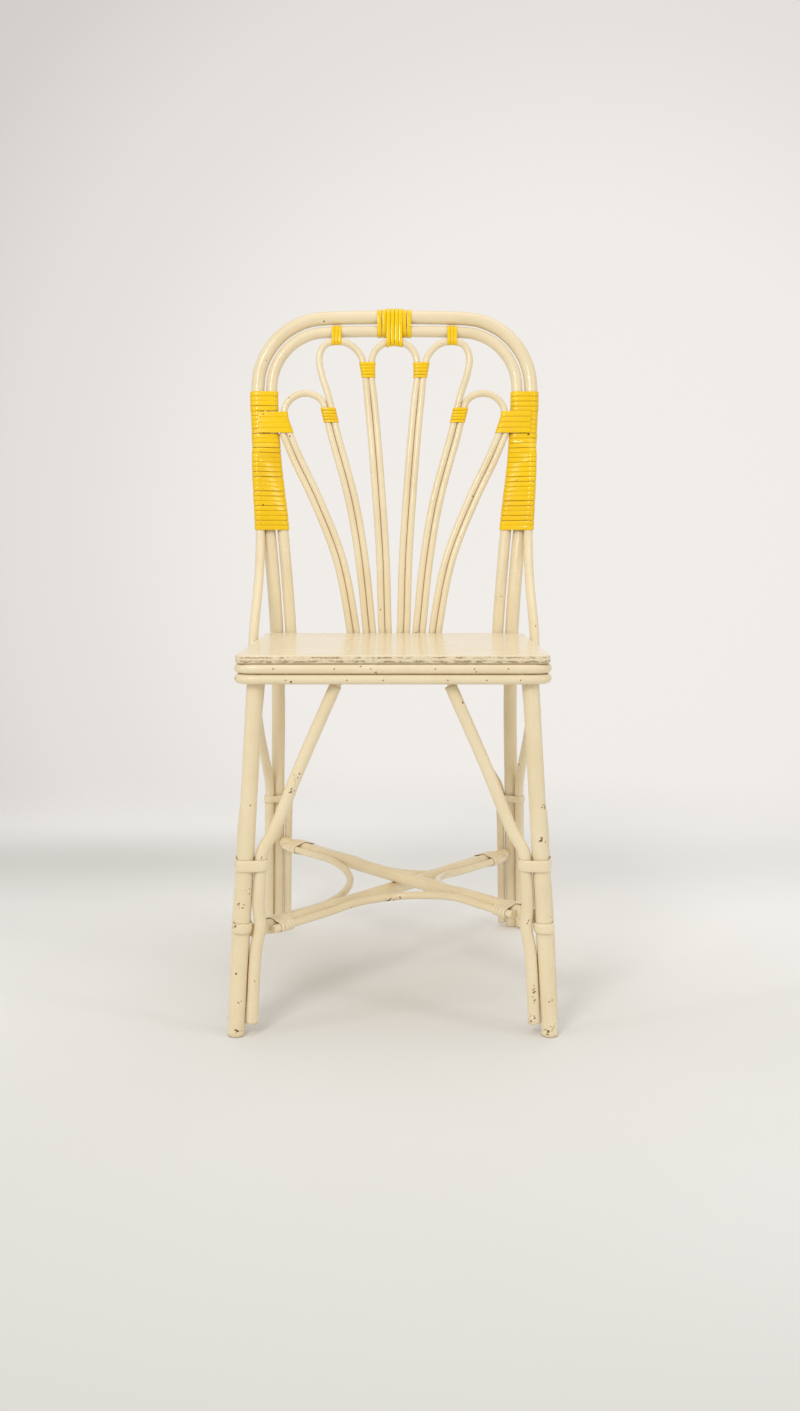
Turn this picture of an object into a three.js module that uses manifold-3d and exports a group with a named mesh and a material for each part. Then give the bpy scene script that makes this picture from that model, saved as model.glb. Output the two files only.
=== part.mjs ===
// Cane bistro side chair: bent cane frame, plywood seat, wound yellow bindings.
// Millimetres, +Z up. The chair faces -Y. While building, Y = 0 is the seat board's front edge.
import * as THREE from 'three';
import { mergeVertices } from 'three/addons/utils/BufferGeometryUtils.js';
import Module from 'manifold-3d';

const wasm = await Module();
wasm.setup();

const v3 = (x, y, z) => new THREE.Vector3(x, y, z);
const mix = (a, b, t) => a + (b - a) * t;
const mirror = (points) => points.map((p) => v3(-p.x, p.y, p.z));

// Driving dimensions
const seatHeight = 440;
const boardWidth = 358;
const boardDepth = 369;
const boardThickness = 9.5;
const boardCornerRadius = 12;
const chairHeight = 891;

const hoopDiameter = 19;
const innerHoopDiameter = 16;
const bowDiameter = 13;
const fanDiameter = 8.8;
const legDiameter = 20;
const braceDiameter = 11;
const frontBraceDiameter = 14.5;
const railDiameter = 18;
const rimDiameter = 11.6;
const diagonalDiameter = 17;
const arcDiameter = 9.5;

const gap = 0.3;
const backLean = 0.16;
const hoopTopHalfWidth = 193.5;
const hoopWaistHalfWidth = 165.5;
const hoopFootHalfWidth = 175;
const hoopCornerRadius = 98;
const hoopSpacing = 19.8;
const rearFootSetback = 53;
const frontLegTopHalfWidth = 156.5;
const frontFootHalfWidth = 181.5;
const frontFootForward = 12;
const stretcherHeight = 126;
const boundHeight = 198;
const sawAllowance = 8;
const pairSlit = 0.6;
const crownDrop = 140;
const bandHalfHeight = 6.8;
const ringHalfHeight = 6;
const ringThickness = 2.2;
const stretcherTieNear = 46;
const stretcherTieFar = 68;
const centerWrapHalfLength = 24.5;
const centerTieHalfLength = 11;
const arcBendRadius = { front: 98, rear: 60, side: 130 };

// Paint and fibre
const cream = new THREE.MeshStandardMaterial({ color: 0xe8d6ac, roughness: 0.3, metalness: 0 });
const yellow = new THREE.MeshStandardMaterial({ color: 0xf2b90c, roughness: 0.35, metalness: 0 });

// Places worked out from the dimensions above
const rimOverhang = 2.5;
const rimCornerRadius = 16;
const boardBottom = seatHeight - boardThickness;
const rimHalfWidth = boardWidth / 2 + rimOverhang - rimDiameter / 2;
const rimFrontY = rimDiameter / 2 - rimOverhang;
const rimBackY = boardDepth + rimOverhang - rimDiameter / 2;
const rimInset = rimDiameter / 2 + gap;
const rimUpperZ = boardBottom - gap - rimDiameter / 2;
const rimLowerZ = rimUpperZ - rimDiameter - gap;
const rimBottom = rimLowerZ - rimDiameter / 2;
const railZ = boardBottom - gap - railDiameter / 2;
const railBottom = railZ - railDiameter / 2;
const backY = rimBackY + rimDiameter / 2 + gap + hoopDiameter / 2;
const frontLegTopY = rimFrontY + rimInset + legDiameter / 2 + 1.6;
const hoopTop = chairHeight - hoopDiameter / 2;
const hoopShoulder = hoopTop - hoopCornerRadius;
const innerHoopTop = hoopTop - hoopSpacing;
const innerHoopHalfWidth = hoopTopHalfWidth - hoopSpacing;
const wrapBottom = mix(seatHeight, hoopTop, 0.324);
const wrapTop = hoopShoulder - 5.5;
const kneeZ = mix(boundHeight, seatHeight, 0.587);

// Y of the leaning back plane at a height; the legs sweep backward below the seat
function backPlaneY(z) {
  if (z >= seatHeight) return backY + backLean * (z - seatHeight);
  const drop = (seatHeight - z) / seatHeight;
  return backY + rearFootSetback * drop * drop;
}

const onBack = (x, z, forward = 0) => v3(x, backPlaneY(z) - forward, z);
const smooth = (points) => new THREE.CatmullRomCurve3(points, false, 'centripetal');

// A round cane along a curve: the record that its solid and the windings round it are made from
function caneAlong(curve, diameter, spans, sides = 8) {
  return { curve, diameter, spans, sides, line: curve.getSpacedPoints(spans) };
}

// The solid of a cane, with flat sawn ends
function caneSolid({ curve, diameter, spans, sides }) {
  const outline = new THREE.Shape();
  for (let i = 0; i < sides; i += 1) {
    const angle = ((i + 0.5) / sides) * Math.PI * 2;
    const x = (Math.cos(angle) * diameter) / 2;
    const y = (Math.sin(angle) * diameter) / 2;
    if (i === 0) outline.moveTo(x, y);
    else outline.lineTo(x, y);
  }
  outline.closePath();
  return new THREE.ExtrudeGeometry(outline, { steps: spans, extrudePath: curve, bevelEnabled: false });
}

// Where a cane passes a value on one axis, on the run nearest to a wanted value on another.
// The radius is that of the slanting cut through the cane. A value past its end gives the end.
function cutCane({ line, diameter }, axis, wanted, nearAxis, near) {
  const reach = line.map((p) => p[axis]);
  const value = THREE.MathUtils.clamp(wanted, Math.min(...reach), Math.max(...reach));
  let best = null;
  for (let i = 1; i < line.length; i += 1) {
    const a = line[i - 1];
    const b = line[i];
    if ((a[axis] - value) * (b[axis] - value) > 0 || a[axis] === b[axis]) continue;
    const center = a.clone().lerp(b, (value - a[axis]) / (b[axis] - a[axis]));
    const miss = Math.abs(center[nearAxis] - near);
    const slant = Math.abs(b[axis] - a[axis]) / b.distanceTo(a);
    if (!best || miss < best.miss) best = { center, miss, radius: diameter / 2 / slant };
  }
  return best;
}

// An outline round a bundle of canes at a distance from them: each side lies on a line that touches it
function bundleRing(station, push, sides) {
  const { across, through, cores } = station;
  const step = (Math.PI * 2) / sides;
  const along = across.clone().cross(through);
  const level = cores[0].center.dot(along);
  const reachAt = (angle) => {
    const direction = across.clone().multiplyScalar(Math.cos(angle));
    direction.addScaledVector(through, Math.sin(angle));
    return Math.max(...cores.map((core) => core.center.dot(direction) + core.radius)) + gap + push;
  };
  const ring = [];
  for (let i = 0; i < sides; i += 1) {
    const here = reachAt(i * step);
    const next = reachAt((i + 1) * step);
    const a = (here * Math.sin((i + 1) * step) - next * Math.sin(i * step)) / Math.sin(step);
    const b = (next * Math.cos(i * step) - here * Math.cos((i + 1) * step)) / Math.sin(step);
    ring.push(v3().addScaledVector(across, a).addScaledVector(through, b).addScaledVector(along, level));
  }
  return ring;
}

// A hollow wound sleeve: rings[] run from one end to the other on each surface
function sleeve(outerRings, innerRings) {
  const sides = outerRings[0].length;
  const positions = [];
  const quad = (a, b, c, d) => {
    for (const p of [a, b, c, a, c, d]) positions.push(p.x, p.y, p.z);
  };
  const skin = (rings, outward) => {
    for (let k = 1; k < rings.length; k += 1) {
      for (let i = 0; i < sides; i += 1) {
        const j = (i + 1) % sides;
        if (outward) quad(rings[k - 1][i], rings[k - 1][j], rings[k][j], rings[k][i]);
        else quad(rings[k - 1][j], rings[k - 1][i], rings[k][i], rings[k][j]);
      }
    }
  };
  skin(outerRings, true);
  skin(innerRings, false);
  const lastOuter = outerRings[outerRings.length - 1];
  const lastInner = innerRings[innerRings.length - 1];
  for (let i = 0; i < sides; i += 1) {
    const j = (i + 1) % sides;
    quad(outerRings[0][j], outerRings[0][i], innerRings[0][i], innerRings[0][j]);
    quad(lastOuter[i], lastOuter[j], lastInner[j], lastInner[i]);
  }
  const geometry = new THREE.BufferGeometry();
  geometry.setAttribute('position', new THREE.Float32BufferAttribute(positions, 3));
  return geometry;
}

// Turns of a flat strip wound round a bundle; stationAt(t) gives the bundle from 0 to 1
function winding(stationAt, turns, { thin = 0.9, thick = 2, lift = 0, sides = 10, linings = 2 } = {}) {
  const outer = [];
  for (let k = 0; k <= turns * 2; k += 1) {
    const push = lift + (k % 2 === 0 ? thin : thick);
    outer.push(bundleRing(stationAt(k / (turns * 2)), push, sides));
  }
  const inner = [];
  for (let k = 0; k <= linings; k += 1) inner.push(bundleRing(stationAt(k / linings), lift, sides));
  return sleeve(outer, inner);
}

// A flat band of even thickness with slightly rounded edges
function band(stationAt, { thickness = 1.6, lift = 0, sides = 11 } = {}) {
  const stops = [[0, 0.6], [0.12, 1], [0.88, 1], [1, 0.6]];
  const outer = stops.map(([t, share]) => bundleRing(stationAt(t), lift + thickness * share, sides));
  const inner = [0, 1].map((t) => bundleRing(stationAt(t), lift, sides));
  return sleeve(outer, inner);
}

// A level cut through upright canes, between two heights; each entry is [cane, near x, top]
function levelStation(entries, fromZ, toZ) {
  return (t) => {
    const z = mix(fromZ, toZ, t);
    const present = entries.filter(([, , top = Infinity]) => z < top);
    const cores = present.map(([piece, nearX]) => cutCane(piece, 'z', z, 'x', nearX));
    return { across: v3(1, 0, 0), through: v3(0, 1, 0), cores };
  };
}

// An upright cut across the canes at the top of the back
function crossStation(canes, fromX, toX) {
  return (t) => {
    const cores = canes.map((piece) => cutCane(piece, 'x', mix(fromX, toX, t), 'z', chairHeight));
    return { across: v3(0, 1, 0), through: v3(0, 0, 1), cores };
  };
}

// Outer hoop with the rear legs, and the inner hoop that follows it
function hoopSide(inset, bottom) {
  const waist = hoopWaistHalfWidth - inset;
  const top = hoopTopHalfWidth - inset;
  const points = [];
  if (bottom < rimBottom - hoopDiameter) {
    points.push(onBack(hoopFootHalfWidth + 0.4, -sawAllowance), onBack(hoopFootHalfWidth - 1.5, 40));
    points.push(onBack(mix(waist, hoopFootHalfWidth, 0.3), boundHeight), onBack(waist - 1, kneeZ));
  } else {
    points.push(onBack(waist, bottom));
  }
  points.push(onBack(waist, seatHeight), onBack(mix(waist, top, 0.42), wrapBottom));
  points.push(onBack(mix(waist, top, 0.86), mix(seatHeight, hoopTop, 0.566)));
  const radius = hoopCornerRadius - inset;
  for (let i = 0; i <= 6; i += 1) {
    const angle = (i / 6) * (Math.PI / 2);
    const x = hoopTopHalfWidth - hoopCornerRadius + Math.cos(angle) * radius;
    points.push(onBack(x, hoopShoulder + Math.sin(angle) * radius));
  }
  return points;
}

function hoopCurve(inset, bottom) {
  const right = hoopSide(inset, bottom);
  return smooth([...mirror(right), ...right.slice().reverse()]);
}

const outerHoop = caneAlong(hoopCurve(0, 0), hoopDiameter, 54, 10);
const innerHoop = caneAlong(hoopCurve(hoopSpacing, rimBottom), innerHoopDiameter, 38);

// Fan of the back: six pairs of canes, given on the right side by the middle of each pair.
// Across, a place is a share of the inner hoop's half width. Upward, a crown's places are
// millimetres below the hoop's top, and those of the runs are shares of the way from the seat.
const pairHalfStep = (fanDiameter + pairSlit) / 2;
const fanForward = hoopDiameter / 2 - fanDiameter / 2 + 0.3;
const crownsBottom = innerHoopTop - crownDrop;
const fanX = (share) => innerHoopHalfWidth * share;
const crownZ = (drop) => innerHoopTop - drop;
const runZ = (share) => mix(seatHeight, crownsBottom, share);
const pairRuns = [
  [[0.216, crownZ(53)], [0.19, crownZ(97)], [0.164, runZ(0.985)], [0.122, runZ(0.656)], [0.091, runZ(0.358)],
    [0.073, runZ(0)]],
  [[0.53, crownZ(115)], [0.489, runZ(0.985)], [0.344, runZ(0.656)], [0.261, runZ(0.358)], [0.2, runZ(0)]],
  [[0.885, crownsBottom], [0.793, runZ(0.865)], [0.631, runZ(0.656)], [0.442, runZ(0.358)], [0.33, runZ(0)]],
];
const sideCrown = [[0.276, 33], [0.362, 18], [0.469, 13], [0.569, 19], [0.612, 36], [0.592, 60], [0.54, 88]];
const farCrown = [[0.586, 98], [0.655, 89], [0.752, 87], [0.844, 95], [0.896, 111]];

// One cane of a pair, set off square to the pair's run, down to the foot of the seat rim
function pairRun(index, shift) {
  const run = pairRuns[index].map(([share, z]) => [fanX(share), z]);
  const [footX] = run[run.length - 1];
  const middles = [...run, [footX - 3, rimBottom + 4]];
  return middles.map(([x, z], i) => {
    const [beforeX, beforeZ] = middles[Math.max(i - 1, 0)];
    const [afterX, afterZ] = middles[Math.min(i + 1, middles.length - 1)];
    const slope = (beforeX - afterX) / (beforeZ - afterZ);
    const squareX = (shift * pairHalfStep) / Math.hypot(1, slope);
    return onBack(x + squareX, z - squareX * slope, fanForward);
  });
}

const crownPoints = (crown) => crown.map(([share, drop]) => onBack(fanX(share), crownZ(drop), fanForward));

function centerLoopCurve() {
  const leg = pairRun(0, -1);
  const radius = leg[0].x;
  const arc = [];
  for (let i = 1; i < 6; i += 1) {
    const angle = (i / 6) * Math.PI;
    arc.push(onBack(Math.cos(angle) * radius, crownZ(45) + Math.sin(angle) * radius * 0.97, fanForward));
  }
  return smooth([...leg.slice().reverse(), ...arc, ...mirror(leg)]);
}

// A loop up the outer cane of one pair, over its crown and down the inner cane of the next pair
function loopCurve(index, crown) {
  return smooth([...pairRun(index, 1).reverse(), ...crownPoints(crown), ...pairRun(index + 1, -1)]);
}

// Side bow: bound to the hoop, out round the seat, back to the rear leg and down to the floor
const bowReach = (hoopDiameter + bowDiameter) / 2 + gap + 1;
const bowTop = mix(wrapBottom, wrapTop, 0.55);
const bowSeatX = boardWidth / 2 + rimOverhang + bowDiameter / 2 + gap;
const bowSeatY = boardDepth * 0.78;

function besideHoop(z, side, forward) {
  const hoop = cutCane(outerHoop, 'z', z, 'x', hoopWaistHalfWidth).center;
  return v3(hoop.x + side, hoop.y - forward, z);
}

function bowAboveSeat(share) {
  const aside = mix(0.62, 0.15, share);
  return besideHoop(mix(wrapBottom, bowTop, share), bowReach * aside, bowReach * Math.sqrt(1 - aside * aside));
}

const bowOnLeg = (z) => besideHoop(z, bowReach * 0.62, bowReach * 0.79);

const sideBow = caneAlong(smooth([
  ...[1, 0.72, 0.44, 0.16, -0.07].map(bowAboveSeat),
  v3(bowSeatX - 2, bowSeatY + 62, mix(seatHeight, wrapBottom, 0.56)),
  v3(bowSeatX, bowSeatY, seatHeight),
  v3(bowSeatX, bowSeatY - 6, rimLowerZ),
  v3(bowSeatX - 2, bowSeatY + 30, mix(boundHeight, seatHeight, 0.5)),
  ...[boundHeight + 24, boundHeight - 18, 120, 60, 4].map(bowOnLeg),
]), bowDiameter, 24);

// Rear brace: slanting from the rear rail to the inside of the rear leg, then down it
const rearBraceReach = (hoopDiameter + braceDiameter) / 2 + gap + 0.3;
const rearRailY = rimBackY - rimInset - railDiameter / 2 - gap;
const braceTop = railBottom - braceDiameter / 2 - 1;
const slantZ = (share) => mix(boundHeight, braceTop, share);
const rearBrace = caneAlong(smooth([
  v3(hoopWaistHalfWidth * 0.38, rearRailY, braceTop),
  v3(hoopWaistHalfWidth * 0.6, rearRailY + 8, slantZ(0.61)),
  v3(hoopWaistHalfWidth * 0.8, backPlaneY(slantZ(0.25)) - 3, slantZ(0.25)),
  besideHoop(boundHeight + 18, -rearBraceReach - 1, 0),
  besideHoop(boundHeight - 6, -rearBraceReach - 0.5, 0),
  besideHoop(120, -rearBraceReach, 0),
  besideHoop(6, -rearBraceReach, 0),
]), braceDiameter, 12);

// Front legs with an inner and a side brace each
const frontLegTop = v3(frontLegTopHalfWidth, frontLegTopY, boardBottom - legDiameter * 0.06);
const frontFoot = v3(frontFootHalfWidth, -frontFootForward, 0);
const belowFloor = frontLegTop.clone().lerp(frontFoot, 1 + sawAllowance / frontLegTop.z);
const frontLeg = caneAlong(new THREE.LineCurve3(frontLegTop, belowFloor), legDiameter, 1, 12);
const frontBraceReach = (legDiameter + frontBraceDiameter) / 2 + gap;

function besideLeg(z, side, behind) {
  const leg = cutCane(frontLeg, 'z', z, 'x', frontFootHalfWidth).center;
  return v3(leg.x + side, leg.y + behind, z);
}

const pastRing = ringThickness + gap + 0.6;
const frontBrace = caneAlong(smooth([
  v3(frontLegTopHalfWidth * 0.42, frontLegTopY, railBottom - frontBraceDiameter / 2 - 1),
  v3(frontLegTopHalfWidth * 0.69, frontLegTopY - 6, slantZ(0.53)),
  v3(frontLegTopHalfWidth * 0.875, 8, slantZ(0.19)),
  besideLeg(boundHeight + 13, -frontBraceReach - 0.6, 0),
  besideLeg(boundHeight - 12, -frontBraceReach - 0.6, 0),
  besideLeg(stretcherHeight, -frontBraceReach - pastRing, 0),
  besideLeg(70, -frontBraceReach - 1, 0),
  besideLeg(14, -frontBraceReach, 0),
]), frontBraceDiameter, 14);

// Down the outer back of the leg, past the ring
const sideBraceReach = (legDiameter + braceDiameter) / 2 + gap + 0.5;
const outsideLeg = (z, more) => besideLeg(z, (sideBraceReach + more) * 0.44, (sideBraceReach + more) * 0.9);
const sideBrace = caneAlong(smooth([
  v3(rimHalfWidth - rimInset - railDiameter / 2, boardDepth * 0.32, braceTop),
  v3(frontLegTopHalfWidth + 9, boardDepth * 0.206, slantZ(0.635)),
  besideLeg(slantZ(0.23), sideBraceReach * 0.5, sideBraceReach + 8),
  outsideLeg(boundHeight + 10, 0.4),
  outsideLeg(boundHeight - 10, 0.4),
  outsideLeg(stretcherHeight, pastRing),
  outsideLeg(70, 1),
  outsideLeg(14, 0.2),
]), braceDiameter, 14);

// X stretcher: two crossed diagonals and four bent arcs that follow them
const frontCorner = besideLeg(stretcherHeight, 0, 0);
const rearCorner = besideHoop(stretcherHeight, 0, 0);
const lowerDiagonalZ = stretcherHeight - diagonalDiameter / 2 - gap / 2;
const upperDiagonalZ = stretcherHeight + diagonalDiameter / 2 + gap / 2;
const frontEndGap = legDiameter / 2 + ringThickness + 5;
const rearEndGap = hoopDiameter / 2 + 7;
const arcOffset = (diagonalDiameter + arcDiameter) / 2 + gap;
const arcEndGap = 36;

const flat = (p) => v3(p.x, p.y, 0);
const frontPlan = flat(frontCorner);
const rearPlan = flat(rearCorner);
const crossShare = frontPlan.x / (frontPlan.x + rearPlan.x);
const crossY = mix(frontPlan.y, rearPlan.y, crossShare);

function diagonal(frontSide, z) {
  const front = v3(frontSide * frontPlan.x, frontPlan.y, z);
  const rear = v3(-frontSide * rearPlan.x, rearPlan.y, z);
  const along = rear.clone().sub(front).normalize();
  front.addScaledVector(along, frontEndGap);
  rear.addScaledVector(along, -rearEndGap);
  return caneAlong(new THREE.LineCurve3(front, rear), diagonalDiameter, 1, 12);
}

// One arc between two neighbouring legs; its middle is bent round an axis away from the crossing
function stretcherArc(startLeg, startZ, endLeg, endZ, bendRadius) {
  const cross = v3(0, crossY, 0);
  const toStart = startLeg.clone().sub(cross);
  const toEnd = endLeg.clone().sub(cross);
  const startLength = toStart.length() - arcEndGap;
  const endLength = toEnd.length() - arcEndGap;
  toStart.normalize();
  toEnd.normalize();
  const bisector = toStart.clone().add(toEnd).normalize();
  const halfAngle = toStart.angleTo(toEnd) / 2;
  const corner = cross.clone().addScaledVector(bisector, arcOffset / Math.sin(halfAngle));
  const setback = bendRadius / Math.tan(halfAngle);
  const center = corner.clone().addScaledVector(bisector, bendRadius / Math.sin(halfAngle));
  const shift = arcOffset / Math.tan(halfAngle);
  const points = [];
  const straight = (direction, length, z, share) => {
    const p = corner.clone().addScaledVector(direction, mix(setback, length - shift, share));
    p.z = z;
    return p;
  };
  const sweep = Math.PI / 2 - halfAngle;
  const sideways = toStart.clone().sub(toEnd).normalize();
  for (const share of [1, 0.5]) points.push(straight(toStart, startLength, startZ, share));
  for (let i = 0; i <= 6; i += 1) {
    const angle = mix(sweep, -sweep, i / 6);
    const p = center.clone().addScaledVector(sideways, Math.sin(angle) * bendRadius);
    p.addScaledVector(bisector, -Math.cos(angle) * bendRadius);
    p.z = mix(startZ, endZ, i / 6);
    points.push(p);
  }
  for (const share of [0.5, 1]) points.push(straight(toEnd, endLength, endZ, share));
  return caneAlong(smooth(points), arcDiameter, 14, 6);
}

const legPlan = {
  frontLeft: v3(-frontPlan.x, frontPlan.y, 0),
  frontRight: frontPlan,
  rearLeft: v3(-rearPlan.x, rearPlan.y, 0),
  rearRight: rearPlan,
};

const stretcherArcs = {
  front: stretcherArc(legPlan.frontLeft, lowerDiagonalZ, legPlan.frontRight, upperDiagonalZ, arcBendRadius.front),
  rear: stretcherArc(legPlan.rearLeft, upperDiagonalZ, legPlan.rearRight, lowerDiagonalZ, arcBendRadius.rear),
  left: stretcherArc(legPlan.frontLeft, lowerDiagonalZ, legPlan.rearLeft, upperDiagonalZ, arcBendRadius.side),
  right: stretcherArc(legPlan.frontRight, upperDiagonalZ, legPlan.rearRight, lowerDiagonalZ, arcBendRadius.side),
};

// A tie round one diagonal and the two arcs beside it
function stretcherTie(leg, z) {
  const toCross = v3(0, crossY, 0).sub(leg).normalize();
  const across = v3(-toCross.y, toCross.x, 0);
  const stationAt = (t) => {
    const middle = leg.clone().addScaledVector(toCross, mix(stretcherTieNear, stretcherTieFar, t));
    middle.z = z;
    const cores = [{ center: middle, radius: diagonalDiameter / 2 }];
    for (const side of [-1, 1]) {
      const center = middle.clone().addScaledVector(across, side * arcOffset);
      cores.push({ center, radius: arcDiameter / 2 });
    }
    return { across, through: v3(0, 0, 1), cores };
  };
  return winding(stationAt, 4, { thin: 0.8, thick: 1.8, linings: 1 });
}

// Seat
function roundedRectangle(halfWidth, front, back, radius) {
  const shape = new THREE.Shape();
  shape.moveTo(-halfWidth + radius, front);
  shape.lineTo(halfWidth - radius, front);
  shape.absarc(halfWidth - radius, front + radius, radius, -Math.PI / 2, 0);
  shape.lineTo(halfWidth, back - radius);
  shape.absarc(halfWidth - radius, back - radius, radius, 0, Math.PI / 2);
  shape.lineTo(-halfWidth + radius, back);
  shape.absarc(-halfWidth + radius, back - radius, radius, Math.PI / 2, Math.PI);
  shape.lineTo(-halfWidth, front + radius);
  shape.absarc(-halfWidth + radius, front + radius, radius, Math.PI, Math.PI * 1.5);
  return shape;
}

function seatBoard() {
  const outline = roundedRectangle(boardWidth / 2, 0, boardDepth, boardCornerRadius);
  const across = { depth: boardThickness, bevelEnabled: false, curveSegments: 6 };
  const board = new THREE.ExtrudeGeometry(outline, across);
  return board.translate(0, 0, boardBottom);
}

function rimCane(z) {
  const outline = roundedRectangle(rimHalfWidth, rimFrontY, rimBackY, rimCornerRadius);
  const corners = outline.getPoints(5).map((p) => v3(p.x, p.y, z));
  const points = corners.filter((p, i) => p.distanceTo(corners[(i + 1) % corners.length]) > gap);
  return ringTube(points, rimDiameter / 2, 8);
}

// A closed round tube through level points, with mitred joints
function ringTube(points, radius, sides) {
  const rings = points.map((p, i) => {
    const before = points[(i + points.length - 1) % points.length];
    const after = points[(i + 1) % points.length];
    const into = p.clone().sub(before).normalize();
    const out = after.clone().sub(p).normalize();
    const outward = v3(into.y + out.y, -into.x - out.x, 0).normalize();
    const stretch = 1 / Math.cos(into.angleTo(out) / 2);
    const ring = [];
    for (let k = 0; k < sides; k += 1) {
      const angle = ((k + 0.5) / sides) * Math.PI * 2;
      const vertex = p.clone().addScaledVector(outward, Math.cos(angle) * radius * stretch);
      ring.push(vertex.add(v3(0, 0, Math.sin(angle) * radius)));
    }
    return ring;
  });
  const positions = [];
  rings.forEach((ring, i) => {
    const next = rings[(i + 1) % rings.length];
    for (let k = 0; k < sides; k += 1) {
      const j = (k + 1) % sides;
      for (const q of [ring[k], next[k], next[j], ring[k], next[j], ring[j]]) positions.push(q.x, q.y, q.z);
    }
  });
  const geometry = new THREE.BufferGeometry();
  geometry.setAttribute('position', new THREE.Float32BufferAttribute(positions, 3));
  return geometry;
}

function rail(from, to) {
  return caneSolid(caneAlong(new THREE.LineCurve3(from, to), railDiameter, 1));
}

// The chair
const chair = new THREE.Group();
chair.name = 'cane_bistro_chair';

// Only positions, with equal corners shared
function closedUp(geometry) {
  geometry.deleteAttribute('normal');
  geometry.deleteAttribute('uv');
  return mergeVertices(geometry, 1e-4);
}

// A leg with its foot sawn level at the floor
function sawnLevel(geometry) {
  const whole = closedUp(geometry);
  const mesh = new wasm.Mesh({
    numProp: 3,
    vertProperties: new Float32Array(whole.attributes.position.array),
    triVerts: new Uint32Array(whole.index.array),
  });
  const cut = new wasm.Manifold(mesh).trimByPlane([0, 0, 1], 0).getMesh();
  const foot = new THREE.BufferGeometry();
  foot.setAttribute('position', new THREE.Float32BufferAttribute(cut.vertProperties, 3));
  foot.setIndex(Array.from(cut.triVerts));
  return foot;
}

function add(name, geometry, material) {
  const merged = closedUp(geometry);
  merged.computeVertexNormals();
  const mesh = new THREE.Mesh(merged, material);
  mesh.name = name;
  chair.add(mesh);
}

// A right-hand piece and its mirror image
function flipped(geometry) {
  const copy = geometry.clone();
  copy.scale(-1, 1, 1);
  const soup = copy.index ? copy.toNonIndexed() : copy;
  const position = soup.attributes.position;
  for (let i = 0; i < position.count; i += 3) {
    const a = v3().fromBufferAttribute(position, i);
    const b = v3().fromBufferAttribute(position, i + 1);
    position.setXYZ(i, b.x, b.y, b.z);
    position.setXYZ(i + 1, a.x, a.y, a.z);
  }
  return soup;
}

function addPair(name, geometry, material) {
  add(`${name}_left`, flipped(geometry), material);
  add(`${name}_right`, geometry, material);
}

add('outer_hoop', sawnLevel(caneSolid(outerHoop)), cream);
add('inner_hoop', caneSolid(innerHoop), cream);
addPair('side_bow', caneSolid(sideBow), cream);

const centerLoop = caneAlong(centerLoopCurve(), fanDiameter, 32, 6);
const sideLoop = caneAlong(loopCurve(0, sideCrown), fanDiameter, 36, 6);
const farLoop = caneAlong(loopCurve(1, farCrown), fanDiameter, 30, 6);
const stay = caneAlong(smooth(pairRun(2, 1)), fanDiameter, 10, 6);
add('fan_loop_center', caneSolid(centerLoop), cream);
addPair('fan_loop', caneSolid(sideLoop), cream);
addPair('fan_far_loop', caneSolid(farLoop), cream);
addPair('fan_stay', caneSolid(stay), cream);

add('seat_board', seatBoard(), cream);
add('seat_rim_upper', rimCane(rimUpperZ), cream);
add('seat_rim_lower', rimCane(rimLowerZ), cream);

const railInset = rimInset + railDiameter / 2;
const sideRailX = rimHalfWidth - railInset;
const frontRailY = rimFrontY + railInset;
const railHalfLength = frontLegTopHalfWidth - legDiameter / 2 - 1;
const sideRailFront = frontLegTopY + legDiameter / 2 + 1;
const sideRailBack = rearRailY - railDiameter / 2 - gap;
add('front_rail', rail(v3(-railHalfLength, frontRailY, railZ), v3(railHalfLength, frontRailY, railZ)), cream);
add('rear_rail', rail(v3(-sideRailX, rearRailY, railZ), v3(sideRailX, rearRailY, railZ)), cream);
addPair('side_rail', rail(v3(sideRailX, sideRailFront, railZ), v3(sideRailX, sideRailBack, railZ)), cream);

addPair('front_leg', sawnLevel(caneSolid(frontLeg)), cream);
addPair('front_brace', caneSolid(frontBrace), cream);
addPair('side_brace', caneSolid(sideBrace), cream);
addPair('rear_brace', caneSolid(rearBrace), cream);

add('stretcher_lower', caneSolid(diagonal(-1, lowerDiagonalZ)), cream);
add('stretcher_upper', caneSolid(diagonal(1, upperDiagonalZ)), cream);
add('stretcher_arc_front', caneSolid(stretcherArcs.front), cream);
add('stretcher_arc_rear', caneSolid(stretcherArcs.rear), cream);
add('stretcher_arc_left', caneSolid(stretcherArcs.left), cream);
add('stretcher_arc_right', caneSolid(stretcherArcs.right), cream);
add('stretcher_tie_front_left', stretcherTie(legPlan.frontLeft, lowerDiagonalZ), cream);
add('stretcher_tie_front_right', stretcherTie(legPlan.frontRight, upperDiagonalZ), cream);
add('stretcher_tie_rear_left', stretcherTie(legPlan.rearLeft, upperDiagonalZ), cream);
add('stretcher_tie_rear_right', stretcherTie(legPlan.rearRight, lowerDiagonalZ), cream);

// Cream bands round the legs and the yellow windings of the back
const leg = [frontLeg, frontFootHalfWidth];
const legSideBrace = [sideBrace, frontFootHalfWidth];
const legFrontBrace = [frontBrace, frontLegTopHalfWidth];
const legBand = levelStation([leg, legFrontBrace, legSideBrace], boundHeight - bandHalfHeight,
  boundHeight + bandHalfHeight);
addPair('leg_band', band(legBand), cream);
const legRing = levelStation([leg], stretcherHeight - ringHalfHeight, stretcherHeight + ringHalfHeight);
addPair('leg_ring', band(legRing, { thickness: ringThickness }), cream);
const rearBraceAtLeg = [rearBrace, hoopWaistHalfWidth];
const rearLegCanes = [[outerHoop, hoopFootHalfWidth], [sideBow, hoopFootHalfWidth], rearBraceAtLeg];
addPair('rear_band', band(levelStation(rearLegCanes, boundHeight - 2, boundHeight + 8)), cream);

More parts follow.
